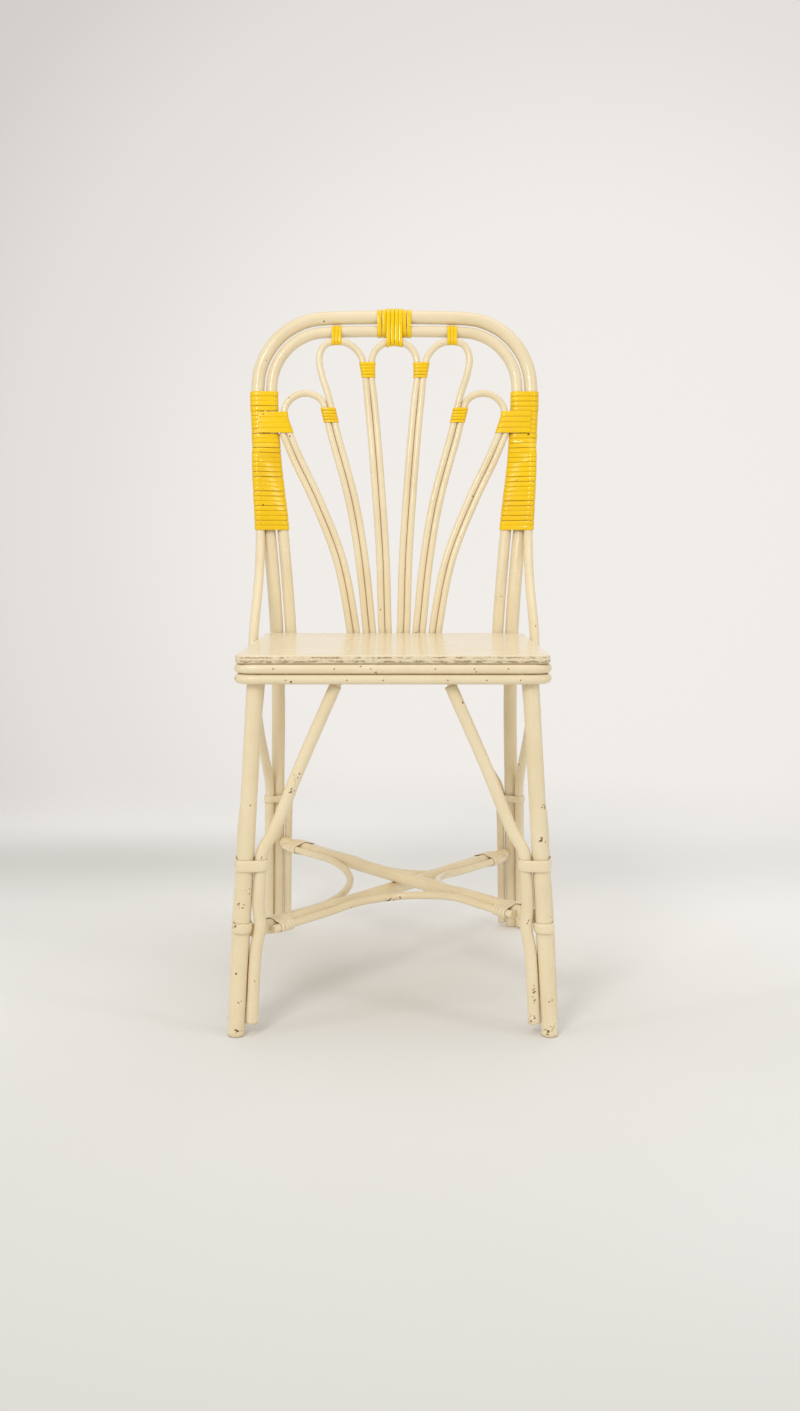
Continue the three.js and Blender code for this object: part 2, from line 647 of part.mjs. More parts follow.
const hoops = [[outerHoop, hoopTopHalfWidth], [innerHoop, hoopTopHalfWidth]];
const armBottom = crownZ(143);
const armTop = crownZ(112);
const bowInWrap = [sideBow, hoopTopHalfWidth, bowTop + bowDiameter];
const lowerWrap = levelStation([...hoops, bowInWrap], wrapBottom, armBottom - gap);
addPair('side_wrap_lower', winding(lowerWrap, 20, { thin: 0.6, thick: 1.3, linings: 12 }), yellow);
const upperWrap = levelStation(hoops, armTop + gap, wrapTop);
addPair('side_wrap_upper', winding(upperWrap, 4, { thin: 0.6, thick: 1.3 }), yellow);

// Between them one strip goes round the outer hoop alone, and the arm's strip round the rest
const slimTurns = { thin: 0.35, thick: 0.65 };
const hoopWrap = levelStation([hoops[0]], armBottom, armTop);
addPair('side_wrap_middle', winding(hoopWrap, 5, slimTurns), yellow);
const armCanes = [hoops[1], [farLoop, fanX(0.862)], [stay, fanX(0.919), crownsBottom - 1]];
const armWrap = levelStation(armCanes, armBottom, armTop);
addPair('arm_wrap', winding(armWrap, 4, slimTurns), yellow);
const upperTie = levelStation([[centerLoop, fanX(0.172)], [sideLoop, fanX(0.23)]], crownZ(65), crownZ(43));
addPair('fan_tie_upper', winding(upperTie, 5), yellow);
const lowerTie = levelStation([[sideLoop, fanX(0.505)], [farLoop, fanX(0.546)]], crownZ(128), crownZ(107));
addPair('fan_tie_lower', winding(lowerTie, 5), yellow);

const loopTie = crossStation([innerHoop, sideLoop], fanX(0.431), fanX(0.511));
addPair('loop_tie', winding(loopTie, 3, { thin: 0.6, thick: 1.1 }), yellow);
const centerWrap = crossStation([outerHoop, innerHoop], -centerWrapHalfLength, centerWrapHalfLength);
add('center_wrap', winding(centerWrap, 7, { thin: 0.8 }), yellow);
const tiedAtTop = [outerHoop, innerHoop, centerLoop];
const centerTie = crossStation(tiedAtTop, -centerTieHalfLength, centerTieHalfLength);
add('center_tie', band(centerTie, { thickness: 1.3, lift: 2.6, sides: 10 }), yellow);

// Put the middle of the underside at the origin
const bounds = new THREE.Box3().setFromObject(chair);
const middle = bounds.getCenter(v3());
for (const mesh of chair.children) mesh.geometry.translate(-middle.x, -middle.y, -bounds.min.z);

export default chair;
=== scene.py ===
"""The looks of the painted cane side chair: round canes, wound strips, chipped enamel, light and camera."""

import math
import random

import bpy
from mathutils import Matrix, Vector


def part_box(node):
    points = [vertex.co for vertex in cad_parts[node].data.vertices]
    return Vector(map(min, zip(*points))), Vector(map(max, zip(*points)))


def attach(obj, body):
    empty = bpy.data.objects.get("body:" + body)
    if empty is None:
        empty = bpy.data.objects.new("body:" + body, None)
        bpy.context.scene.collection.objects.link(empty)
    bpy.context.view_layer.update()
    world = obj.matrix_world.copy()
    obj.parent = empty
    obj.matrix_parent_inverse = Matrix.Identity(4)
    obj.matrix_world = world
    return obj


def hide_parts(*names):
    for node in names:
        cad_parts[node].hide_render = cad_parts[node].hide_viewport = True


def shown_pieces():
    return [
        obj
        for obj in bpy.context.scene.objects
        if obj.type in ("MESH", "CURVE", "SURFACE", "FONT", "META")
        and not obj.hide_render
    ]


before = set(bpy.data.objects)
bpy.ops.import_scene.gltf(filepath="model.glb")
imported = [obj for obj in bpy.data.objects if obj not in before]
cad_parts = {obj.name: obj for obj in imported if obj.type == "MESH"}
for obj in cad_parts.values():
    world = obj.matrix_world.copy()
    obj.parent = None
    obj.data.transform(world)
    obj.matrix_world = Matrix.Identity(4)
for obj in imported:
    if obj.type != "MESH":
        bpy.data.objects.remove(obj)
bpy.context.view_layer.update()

# Driving dimensions in millimetres, the same as the part's; FULLNESS and those after it are the looks' own
SEAT_HEIGHT = 440
BOARD_WIDTH = 358
BOARD_DEPTH = 369
BOARD_THICKNESS = 9.5
BOARD_CORNER_RADIUS = 12
CHAIR_HEIGHT = 891
HOOP_DIAMETER = 19
INNER_HOOP_DIAMETER = 16
BOW_DIAMETER = 13
FAN_DIAMETER = 8.8
LEG_DIAMETER = 20
BRACE_DIAMETER = 11
FRONT_BRACE_DIAMETER = 14.5
RAIL_DIAMETER = 18
RIM_DIAMETER = 11.6
DIAGONAL_DIAMETER = 17
ARC_DIAMETER = 9.5
GAP = 0.3
BACK_LEAN = 0.16
HOOP_TOP_HALF_WIDTH = 193.5
HOOP_WAIST_HALF_WIDTH = 165.5
HOOP_FOOT_HALF_WIDTH = 175
HOOP_CORNER_RADIUS = 98
HOOP_SPACING = 19.8
REAR_FOOT_SETBACK = 53
FRONT_LEG_TOP_HALF_WIDTH = 156.5
FRONT_FOOT_HALF_WIDTH = 181.5
FRONT_FOOT_FORWARD = 12
STRETCHER_HEIGHT = 126
BOUND_HEIGHT = 198
RIM_OVERHANG = 2.5
RIM_CORNER_RADIUS = 16
RING_THICKNESS = 2.2
PAIR_SLIT = 0.6
CROWN_DROP = 140
BAND_HALF_HEIGHT = 6.8
RING_HALF_HEIGHT = 6
STRETCHER_TIE_NEAR = 46
STRETCHER_TIE_FAR = 68
CENTER_WRAP_HALF_LENGTH = 24.5
CENTER_TIE_HALF_LENGTH = 11
FULLNESS = 0.99
FAN_FULLNESS = 1.1
LEG_FULLNESS = 0.965
BOARD_EDGE_RADIUS = 1.1
NAIL_RINGS = ((0.95, 0.0), (0.8, 0.22), (0.4, 0.32))
CANE_STEP = 3.5
KNUCKLE_HALF_LENGTH = 2.2
SAWN_REACH = 12


def mix(a, b, t):
    return a + (b - a) * t


# Places worked out from them
BOARD_BOTTOM = SEAT_HEIGHT - BOARD_THICKNESS
RIM_HALF_WIDTH = BOARD_WIDTH / 2 + RIM_OVERHANG - RIM_DIAMETER / 2
RIM_FRONT_Y = RIM_DIAMETER / 2 - RIM_OVERHANG
RIM_BACK_Y = BOARD_DEPTH + RIM_OVERHANG - RIM_DIAMETER / 2
RIM_INSET = RIM_DIAMETER / 2 + GAP
RIM_UPPER_Z = BOARD_BOTTOM - GAP - RIM_DIAMETER / 2
RIM_LOWER_Z = RIM_UPPER_Z - RIM_DIAMETER - GAP
RIM_BOTTOM = RIM_LOWER_Z - RIM_DIAMETER / 2
RAIL_Z = BOARD_BOTTOM - GAP - RAIL_DIAMETER / 2
RAIL_BOTTOM = RAIL_Z - RAIL_DIAMETER / 2
BACK_Y = RIM_BACK_Y + RIM_DIAMETER / 2 + GAP + HOOP_DIAMETER / 2
FRONT_LEG_TOP_Y = RIM_FRONT_Y + RIM_INSET + LEG_DIAMETER / 2 + 1.6
HOOP_TOP = CHAIR_HEIGHT - HOOP_DIAMETER / 2
HOOP_SHOULDER = HOOP_TOP - HOOP_CORNER_RADIUS
INNER_HOOP_TOP = HOOP_TOP - HOOP_SPACING
INNER_HOOP_HALF_WIDTH = HOOP_TOP_HALF_WIDTH - HOOP_SPACING
WRAP_BOTTOM = mix(SEAT_HEIGHT, HOOP_TOP, 0.324)
WRAP_TOP = HOOP_SHOULDER - 5.5
KNEE_Z = mix(BOUND_HEIGHT, SEAT_HEIGHT, 0.587)
BOARD_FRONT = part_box("seat_board")[0][1] * 1000


def vec(x, y, z):
    return Vector((x, y, z))


def mirror(points):
    return [vec(-p.x, p.y, p.z) for p in points]


def in_frame(p):
    """A point in millimetres from the board's front edge, as metres in the row frame."""
    return (p[0] / 1000, (p[1] + BOARD_FRONT) / 1000, p[2] / 1000)


# Curves


def smooth(points, per=16):
    """A centripetal Catmull-Rom curve through the points, as a dense list."""
    ends = [points[0] * 2 - points[1], *points, points[-1] * 2 - points[-2]]
    dense = []
    for p0, p1, p2, p3 in zip(ends, ends[1:], ends[2:], ends[3:]):
        step = math.sqrt((p2 - p1).length)
        before = math.sqrt((p1 - p0).length)
        after = math.sqrt((p3 - p2).length)
        t1 = ((p1 - p0) / before - (p2 - p0) / (before + step) + (p2 - p1) / step) * step
        t2 = ((p2 - p1) / step - (p3 - p1) / (step + after) + (p3 - p2) / after) * step
        for i in range(per):
            t = i / per
            dense.append(
                p1 * (2 * t**3 - 3 * t**2 + 1)
                + t1 * (t**3 - 2 * t**2 + t)
                + p2 * (-2 * t**3 + 3 * t**2)
                + t2 * (t**3 - t**2)
            )
    return dense + [points[-1].copy()]


def evenly(points, step):
    """The same line with points a step apart."""
    lengths = [0.0]
    for a, b in zip(points, points[1:]):
        lengths.append(lengths[-1] + (b - a).length)
    count = max(2, round(lengths[-1] / step))
    out, k = [], 0
    for i in range(count + 1):
        want = lengths[-1] * i / count
        while k < len(points) - 2 and lengths[k + 1] < want:
            k += 1
        run = lengths[k + 1] - lengths[k]
        out.append(points[k].lerp(points[k + 1], (want - lengths[k]) / run if run else 0))
    return out


def cut(line, axis, value, near_axis, near, diameter):
    """Centre and slanting radius of a cane where it passes a value on one axis."""
    low = min(p[axis] for p in line)
    high = max(p[axis] for p in line)
    value = min(max(value, low), high)
    best = None
    for a, b in zip(line, line[1:]):
        if (a[axis] - value) * (b[axis] - value) > 0 or a[axis] == b[axis]:
            continue
        center = a.lerp(b, (value - a[axis]) / (b[axis] - a[axis]))
        miss = abs(center[near_axis] - near)
        if best is None or miss < best[0]:
            slant = abs(b[axis] - a[axis]) / (b - a).length
            best = (miss, center, diameter / 2 / slant)
    return best[1], best[2]


# Routes of the canes, on the right-hand side


def back_plane_y(z):
    if z >= SEAT_HEIGHT:
        return BACK_Y + BACK_LEAN * (z - SEAT_HEIGHT)
    drop = (SEAT_HEIGHT - z) / SEAT_HEIGHT
    return BACK_Y + REAR_FOOT_SETBACK * drop * drop


def on_back(x, z, forward=0):
    return vec(x, back_plane_y(z) - forward, z)


def hoop_route(inset, bottom):
    waist = HOOP_WAIST_HALF_WIDTH - inset
    top = HOOP_TOP_HALF_WIDTH - inset
    side = []
    if bottom < RIM_BOTTOM - HOOP_DIAMETER:
        side += [on_back(HOOP_FOOT_HALF_WIDTH, 0), on_back(HOOP_FOOT_HALF_WIDTH - 1.5, 40)]
        side += [on_back(mix(waist, HOOP_FOOT_HALF_WIDTH, 0.3), BOUND_HEIGHT), on_back(waist - 1, KNEE_Z)]
    else:
        side.append(on_back(waist, bottom))
    side += [on_back(waist, SEAT_HEIGHT), on_back(mix(waist, top, 0.42), WRAP_BOTTOM)]
    side.append(on_back(mix(waist, top, 0.86), mix(SEAT_HEIGHT, HOOP_TOP, 0.566)))
    radius = HOOP_CORNER_RADIUS - inset
    for i in range(7):
        angle = math.pi / 12 * i
        x = HOOP_TOP_HALF_WIDTH - HOOP_CORNER_RADIUS + math.cos(angle) * radius
        side.append(on_back(x, HOOP_SHOULDER + math.sin(angle) * radius))
    return smooth(mirror(side) + side[::-1])


PAIR_HALF_STEP = (FAN_DIAMETER + PAIR_SLIT) / 2
FAN_FORWARD = HOOP_DIAMETER / 2 - FAN_DIAMETER / 2 + 0.3
CROWNS_BOTTOM = INNER_HOOP_TOP - CROWN_DROP


def fan_x(share):
    return INNER_HOOP_HALF_WIDTH * share


def crown_z(drop):
    return INNER_HOOP_TOP - drop


def run_z(share):
    return mix(SEAT_HEIGHT, CROWNS_BOTTOM, share)


PAIR_RUNS = [
    [(0.216, crown_z(53)), (0.19, crown_z(97)), (0.164, run_z(0.985)),
     (0.122, run_z(0.656)), (0.091, run_z(0.358)), (0.073, run_z(0))],
    [(0.53, crown_z(115)), (0.489, run_z(0.985)),
     (0.344, run_z(0.656)), (0.261, run_z(0.358)), (0.2, run_z(0))],
    [(0.885, CROWNS_BOTTOM), (0.793, run_z(0.865)),
     (0.631, run_z(0.656)), (0.442, run_z(0.358)), (0.33, run_z(0))],
]
SIDE_CROWN = [(0.276, 33), (0.362, 18), (0.469, 13), (0.569, 19), (0.612, 36), (0.592, 60), (0.54, 88)]
FAR_CROWN = [(0.586, 98), (0.655, 89), (0.752, 87), (0.844, 95), (0.896, 111)]


def fan_point(x, z):
    return on_back(x, z, FAN_FORWARD)


def pair_run(index, shift):
    run = [(fan_x(share), z) for share, z in PAIR_RUNS[index]]
    middles = [*run, (run[-1][0] - 3, RIM_BOTTOM + 4)]
    out = []
    for i, (x, z) in enumerate(middles):
        before = middles[max(i - 1, 0)]
        after = middles[min(i + 1, len(middles) - 1)]
        slope = (before[0] - after[0]) / (before[1] - after[1])
        square = shift * PAIR_HALF_STEP / math.hypot(1, slope)
        out.append(fan_point(x + square, z - square * slope))
    return out


def center_loop_route():
    leg = pair_run(0, -1)
    radius = leg[0].x
    arc = []
    for i in range(1, 6):
        angle = math.pi / 6 * i
        arc.append(fan_point(math.cos(angle) * radius, crown_z(45) + math.sin(angle) * radius * 0.97))
    return smooth(leg[::-1] + arc + mirror(leg))


def loop_route(index, crown):
    over = [fan_point(fan_x(share), crown_z(drop)) for share, drop in crown]
    return smooth(pair_run(index, 1)[::-1] + over + pair_run(index + 1, -1))


outer_hoop = hoop_route(0, 0)
inner_hoop = hoop_route(HOOP_SPACING, RIM_BOTTOM)
center_loop = center_loop_route()
side_loop = loop_route(0, SIDE_CROWN)
far_loop = loop_route(1, FAR_CROWN)
stay = smooth(pair_run(2, 1))


def beside_hoop(z, side, forward):
    hoop, _ = cut(outer_hoop, 2, z, 0, HOOP_WAIST_HALF_WIDTH, HOOP_DIAMETER)
    return vec(hoop.x + side, hoop.y - forward, z)


BOW_REACH = (HOOP_DIAMETER + BOW_DIAMETER) / 2 + GAP + 1
BOW_X = BOARD_WIDTH / 2 + RIM_OVERHANG + BOW_DIAMETER / 2 + GAP
BOW_Y = BOARD_DEPTH * 0.78
BOW_TOP = mix(WRAP_BOTTOM, WRAP_TOP, 0.55)


def bow_above_seat(share):
    aside = mix(0.62, 0.15, share)
    before = math.sqrt(1 - aside * aside)
    return beside_hoop(mix(WRAP_BOTTOM, BOW_TOP, share), BOW_REACH * aside, BOW_REACH * before)


def bow_on_leg(z):
    return beside_hoop(z, BOW_REACH * 0.62, BOW_REACH * 0.79)


side_bow = smooth(
    [bow_above_seat(share) for share in (1, 0.72, 0.44, 0.16, -0.07)]
    + [
        vec(BOW_X - 2, BOW_Y + 62, mix(SEAT_HEIGHT, WRAP_BOTTOM, 0.56)),
        vec(BOW_X, BOW_Y, SEAT_HEIGHT),
        vec(BOW_X, BOW_Y - 6, RIM_LOWER_Z),
        vec(BOW_X - 2, BOW_Y + 30, mix(BOUND_HEIGHT, SEAT_HEIGHT, 0.5)),
    ]
    + [bow_on_leg(z) for z in (BOUND_HEIGHT + 24, BOUND_HEIGHT - 18, 120, 60, 4)]
)

REAR_BRACE_REACH = (HOOP_DIAMETER + BRACE_DIAMETER) / 2 + GAP + 0.3
REAR_RAIL_Y = RIM_BACK_Y - RIM_INSET - RAIL_DIAMETER / 2 - GAP
BRACE_TOP = RAIL_BOTTOM - BRACE_DIAMETER / 2 - 1


def slant_z(share):
    return mix(BOUND_HEIGHT, BRACE_TOP, share)


rear_brace = smooth([
    vec(HOOP_WAIST_HALF_WIDTH * 0.38, REAR_RAIL_Y, BRACE_TOP),
    vec(HOOP_WAIST_HALF_WIDTH * 0.6, REAR_RAIL_Y + 8, slant_z(0.61)),
    vec(HOOP_WAIST_HALF_WIDTH * 0.8, back_plane_y(slant_z(0.25)) - 3, slant_z(0.25)),
    beside_hoop(BOUND_HEIGHT + 18, -REAR_BRACE_REACH - 1, 0),
    beside_hoop(BOUND_HEIGHT - 6, -REAR_BRACE_REACH - 0.5, 0),
    beside_hoop(120, -REAR_BRACE_REACH, 0),
    beside_hoop(6, -REAR_BRACE_REACH, 0),
])

leg_top = vec(FRONT_LEG_TOP_HALF_WIDTH, FRONT_LEG_TOP_Y, BOARD_BOTTOM - LEG_DIAMETER * 0.06)
front_leg = [leg_top, vec(FRONT_FOOT_HALF_WIDTH, -FRONT_FOOT_FORWARD, 0)]
BRACE_REACH = (LEG_DIAMETER + FRONT_BRACE_DIAMETER) / 2 + GAP


def beside_leg(z, side, behind):
    leg, _ = cut(front_leg, 2, z, 0, FRONT_FOOT_HALF_WIDTH, LEG_DIAMETER)
    return vec(leg.x + side, leg.y + behind, z)


PAST_RING = RING_THICKNESS + GAP + 0.6
front_brace = smooth([
    vec(FRONT_LEG_TOP_HALF_WIDTH * 0.42, FRONT_LEG_TOP_Y, RAIL_BOTTOM - FRONT_BRACE_DIAMETER / 2 - 1),
    vec(FRONT_LEG_TOP_HALF_WIDTH * 0.69, FRONT_LEG_TOP_Y - 6, slant_z(0.53)),
    vec(FRONT_LEG_TOP_HALF_WIDTH * 0.875, 8, slant_z(0.19)),
    beside_leg(BOUND_HEIGHT + 13, -BRACE_REACH - 0.6, 0),
    beside_leg(BOUND_HEIGHT - 12, -BRACE_REACH, 0),
    beside_leg(STRETCHER_HEIGHT + 26, -BRACE_REACH, 0),
    beside_leg(STRETCHER_HEIGHT, -BRACE_REACH - PAST_RING, 0),
    beside_leg(STRETCHER_HEIGHT - 28, -BRACE_REACH + 0.3, 0),
    beside_leg(14, -BRACE_REACH + 0.3, 0),
])
SIDE_REACH = (LEG_DIAMETER + BRACE_DIAMETER) / 2 + GAP + 0.5


def outside_leg(z, more):
    return beside_leg(z, (SIDE_REACH + more) * 0.44, (SIDE_REACH + more) * 0.9)


side_brace = smooth([
    vec(RIM_HALF_WIDTH - RIM_INSET - RAIL_DIAMETER / 2, BOARD_DEPTH * 0.32, BRACE_TOP),
    vec(FRONT_LEG_TOP_HALF_WIDTH + 9, BOARD_DEPTH * 0.206, slant_z(0.635)),
    beside_leg(slant_z(0.23), SIDE_REACH * 0.5, SIDE_REACH + 8),
    outside_leg(BOUND_HEIGHT + 10, 0.4),
    outside_leg(BOUND_HEIGHT - 10, 0.4),
    outside_leg(STRETCHER_HEIGHT, PAST_RING),
    outside_leg(70, 1),
    outside_leg(14, 0.2),
])

# Stretcher
LOWER_Z = STRETCHER_HEIGHT - DIAGONAL_DIAMETER / 2 - GAP / 2
UPPER_Z = STRETCHER_HEIGHT + DIAGONAL_DIAMETER / 2 + GAP / 2
FRONT_END_GAP = LEG_DIAMETER / 2 + RING_THICKNESS + 5
REAR_END_GAP = HOOP_DIAMETER / 2 + 7
ARC_OFFSET = (DIAGONAL_DIAMETER + ARC_DIAMETER) / 2 + GAP
ARC_END_GAP = 36
front_plan = beside_leg(STRETCHER_HEIGHT, 0, 0)
front_plan.z = 0
rear_plan = beside_hoop(STRETCHER_HEIGHT, 0, 0)
rear_plan.z = 0
CROSS_Y = mix(front_plan.y, rear_plan.y, front_plan.x / (front_plan.x + rear_plan.x))
LEGS = {
    "front_right": front_plan,
    "front_left": mirror([front_plan])[0],
    "rear_right": rear_plan,
    "rear_left": mirror([rear_plan])[0],
}


def diagonal_route(front, rear, z):
    start = LEGS[front] + vec(0, 0, z)
    end = LEGS[rear] + vec(0, 0, z)
    along = (end - start).normalized()
    return [start + along * FRONT_END_GAP, end - along * REAR_END_GAP]


def arc_route(start_leg, start_z, end_leg, end_z, bend_radius):
    cross = vec(0, CROSS_Y, 0)
    to_start = LEGS[start_leg] - cross
    to_end = LEGS[end_leg] - cross
    start_length = to_start.length - ARC_END_GAP
    end_length = to_end.length - ARC_END_GAP
    to_start.normalize()
    to_end.normalize()
    bisector = (to_start + to_end).normalized()
    half = to_start.angle(to_end) / 2
    corner = cross + bisector * (ARC_OFFSET / math.sin(half))
    setback = bend_radius / math.tan(half)
    center = corner + bisector * (bend_radius / math.sin(half))
    shift = ARC_OFFSET / math.tan(half)
    sideways = (to_start - to_end).normalized()

    def straight(direction, length, z, share):
        p = corner + direction * mix(setback, length - shift, share)
        p.z = z
        return p

    points = [straight(to_start, start_length, start_z, share) for share in (1, 0.5)]
    for i in range(7):
        angle = mix(1, -1, i / 6) * (math.pi / 2 - half)
        p = center + sideways * (math.sin(angle) * bend_radius) - bisector * (math.cos(angle) * bend_radius)
        p.z = mix(start_z, end_z, i / 6)
        points.append(p)
    points += [straight(to_end, end_length, end_z, share) for share in (0.5, 1)]
    return smooth(points)


def round_corners(half, front, back, r):
    """Points on four rounded corners, as the corner's middle and the way out, from the front right on."""
    middles = [
        (half - r, front + r, -90),
        (half - r, back - r, 0),
        (r - half, back - r, 90),
        (r - half, front + r, 180),
    ]
    points = []
    for x, y, start in middles:
        for i in range(9):
            angle = math.radians(start + 90 * i / 8)
            points.append((x, y, math.cos(angle), math.sin(angle)))
    return points


def rim_route(z):
    r = RIM_CORNER_RADIUS
    corners = round_corners(RIM_HALF_WIDTH, RIM_FRONT_Y, RIM_BACK_Y, r)
    front = vec(0, RIM_FRONT_Y, z)
    return [front] + [vec(x + out_x * r, y + out_y * r, z) for x, y, out_x, out_y in corners] + [front.copy()]


# Mesh making


def lofted(rings):
    """Faces between each ring of vertices and the next."""
    faces = []
    for ring, after in zip(rings, rings[1:]):
        for k in range(len(ring)):
            j = (k + 1) % len(ring)
            faces.append((ring[k], ring[j], after[j], after[k]))
    return faces


def mesh_object(name, vertices, faces, uvs=None):
    mesh = bpy.data.meshes.new(name)
    mesh.from_pydata([in_frame(v) for v in vertices], [], faces)
    mesh.polygons.foreach_set("use_smooth", [True] * len(mesh.polygons))
    if uvs:
        layer = mesh.uv_layers.new(name="run")
        for loop in mesh.loops:
            layer.data[loop.index].uv = uvs[loop.vertex_index]
    mesh.update()
    made = bpy.data.objects.new(name, mesh)
    bpy.context.scene.collection.objects.link(made)
    return made


def frames_along(line, closed=False):
    """A side direction at each point, turned as little as possible from one to the next."""
    count = len(line)
    tangents = []
    for i in range(count):
        if closed:
            ahead, behind = line[(i + 1) % count], line[i - 1]
        else:
            ahead, behind = line[min(i + 1, count - 1)], line[max(i - 1, 0)]
        tangents.append((ahead - behind).normalized())
    side = tangents[0].orthogonal().normalized()
    sides = []
    for t in tangents:
        side = (side - t * side.dot(t)).normalized()
        sides.append(side)
    return tangents, sides


def knuckles(length, diameter, seed):
    """Places of the growth rings along a cane, with how much each stands out."""
    own = random.Random(seed)
    places, at = [], own.uniform(40, 160)
    while at < length:
        places.append((at, own.uniform(0.012, 0.03) * diameter))
        at += own.uniform(150, 290)
    return places


def cane(name, line, diameter, node, closed=False, sides=20, level_feet=False, fullness=FULLNESS):
    """A round cane with slight growth rings and softened sawn ends."""
    line = evenly(line, CANE_STEP)
    if closed:
        line.pop()
    tangents, side_of = frames_along(line, closed)
    rings, vertices, uvs, run = [], [], [], 0.0
    total = sum((b - a).length for a, b in zip(line, line[1:]))
    bumps = knuckles(total, diameter, name)
    for i, p in enumerate(line):
        if i:
            run += (p - line[i - 1]).length
        radius = diameter / 2 * fullness
        for at, rise in bumps:
            near = (run - at) / KNUCKLE_HALF_LENGTH
            radius += rise * (math.exp(-near * near) - 0.5 * math.exp(-((near - 2) ** 2)))
        radius = min(radius, diameter / 2 * max(1, fullness))
        across, over = side_of[i], tangents[i].cross(side_of[i])
        ring = []
        for k in range(sides):
            angle = math.tau * k / sides
            ring.append(len(vertices))
            v = p + across * (math.cos(angle) * radius) + over * (math.sin(angle) * radius)
            if level_feet and v.z < SAWN_REACH:
                v.z = max(0.0, v.z) if 0 < i < len(line) - 1 else 0.0
            vertices.append(v)
            uvs.append((run / 1000, angle * radius / 1000))
        rings.append(ring)
    faces = lofted(rings + rings[:1] if closed else rings)
    if not closed:
        for ring, turn in ((rings[0], -1), (rings[-1], 1)):
            lip = []
            middle = sum((vertices[v] for v in ring), Vector()) / sides
            for v in ring:
                lip.append(len(vertices))
                vertices.append(vertices[v].lerp(middle, 0.02))
                uvs.append(uvs[v])
            faces += lofted([ring, lip] if turn > 0 else [lip, ring])
            faces.append(tuple(lip) if turn > 0 else tuple(reversed(lip)))
    made = mesh_object(name, vertices, faces, uvs)
    for flat_cap in (() if closed else (len(faces) - sides - 2, len(faces) - 1)):
        made.data.polygons[flat_cap].use_smooth = False
    finish_piece(made, node, enamel)


def finish_piece(made, node, material):
    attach(made, "root")
    if node:
        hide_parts(node)
    made.data.materials.append(material)


def both_sides(name, line, diameter, **settings):
    """A right-hand cane and its mirror image."""
    cane(name + "_right_cane", line, diameter, name + "_right", **settings)
    cane(name + "_left_cane", mirror(line), diameter, name + "_left", **settings)


# Wound strips


def level_cut(entries):
    """Cuts through upright canes: station(z) gives the middle and radius of each.

    An entry is a line, the x it is near, its diameter, and where it ends in the bundle, the height
    of its top and how far above it the strip eases in to the canes behind.
    """

    def station(z):
        cores = []
        for line, near, diameter, *ending in entries:
            top, taper = ending or (CHAIR_HEIGHT, 0)
            if z >= top + taper:
                continue
            core, radius = cut(line, 2, z, 0, near, diameter)
            if z > top:
                share = (z - top) / taper
                core = core.lerp(cores[0][0], share * share * (3 - 2 * share))
                core.z = z
            cores.append((core, radius))
        return cores, vec(1, 0, 0), vec(0, 1, 0)

    return station


def cross_cut(entries):
    """Cuts across the canes at the top of the back: station(x)."""

    def station(x):
        cores = [cut(line, 0, x, 2, CHAIR_HEIGHT, diameter) for line, diameter in entries]
        return cores, vec(0, 1, 0), vec(0, 0, 1)

    return station


def outline_point(station, at, angle, push):
    """The point of the bundle's outline that faces an angle."""
    cores, across, through = station(at)
    direction = across * math.cos(angle) + through * math.sin(angle)
    reach = [core.dot(direction) + radius for core, radius in cores]
    best = reach.index(max(reach))
    core, radius = cores[best]
    return core + direction * (radius + push), direction


def strip_section(width, thick):
    """Section of a flat cane strip with rounded edges: (along, out) pairs."""
    half = width / 2
    edge = min(0.9, half * 0.3)
    rise = [(-half, 0), (-half, thick * 0.5), (edge * 0.4 - half, thick * 0.86), (edge - half, thick)]
    return rise + [(-across, out) for across, out in reversed(rise)]


def ribbon(name, path, width, thick, node, material):
    """A flat strip that lies on a path of (place, outward, way across the strip) entries."""
    section = strip_section(width, thick)
    rows = len(section)
    vertices, uvs, run, last = [], [], 0.0, path[0][0]
    for place, outward, way in path:
        run += (place - last).length
        last = place
        for offset, rise in section:
            vertices.append(place + outward * rise + way * offset)
            uvs.append((run / 1000, offset / 1000))
    rings = [range(k * rows, (k + 1) * rows) for k in range(len(path))]
    faces = lofted(rings) + [tuple(rings[0]), tuple(reversed(rings[-1]))]
    made = mesh_object(name, vertices, faces, uvs)
    finish_piece(made, node, material)


def slope_of(station, at, outward, half):
    """How much the bundle widens from one edge of a turn to the other, for each millimetre."""
    def reach(place):
        return max(core.dot(outward) + radius for core, radius in station(place)[0])

    return (reach(at + half) - reach(at - half)) / (2 * half)


def ease(share):
    share = min(max(share, 0.0), 1.0)
    return share * share * (3 - 2 * share)


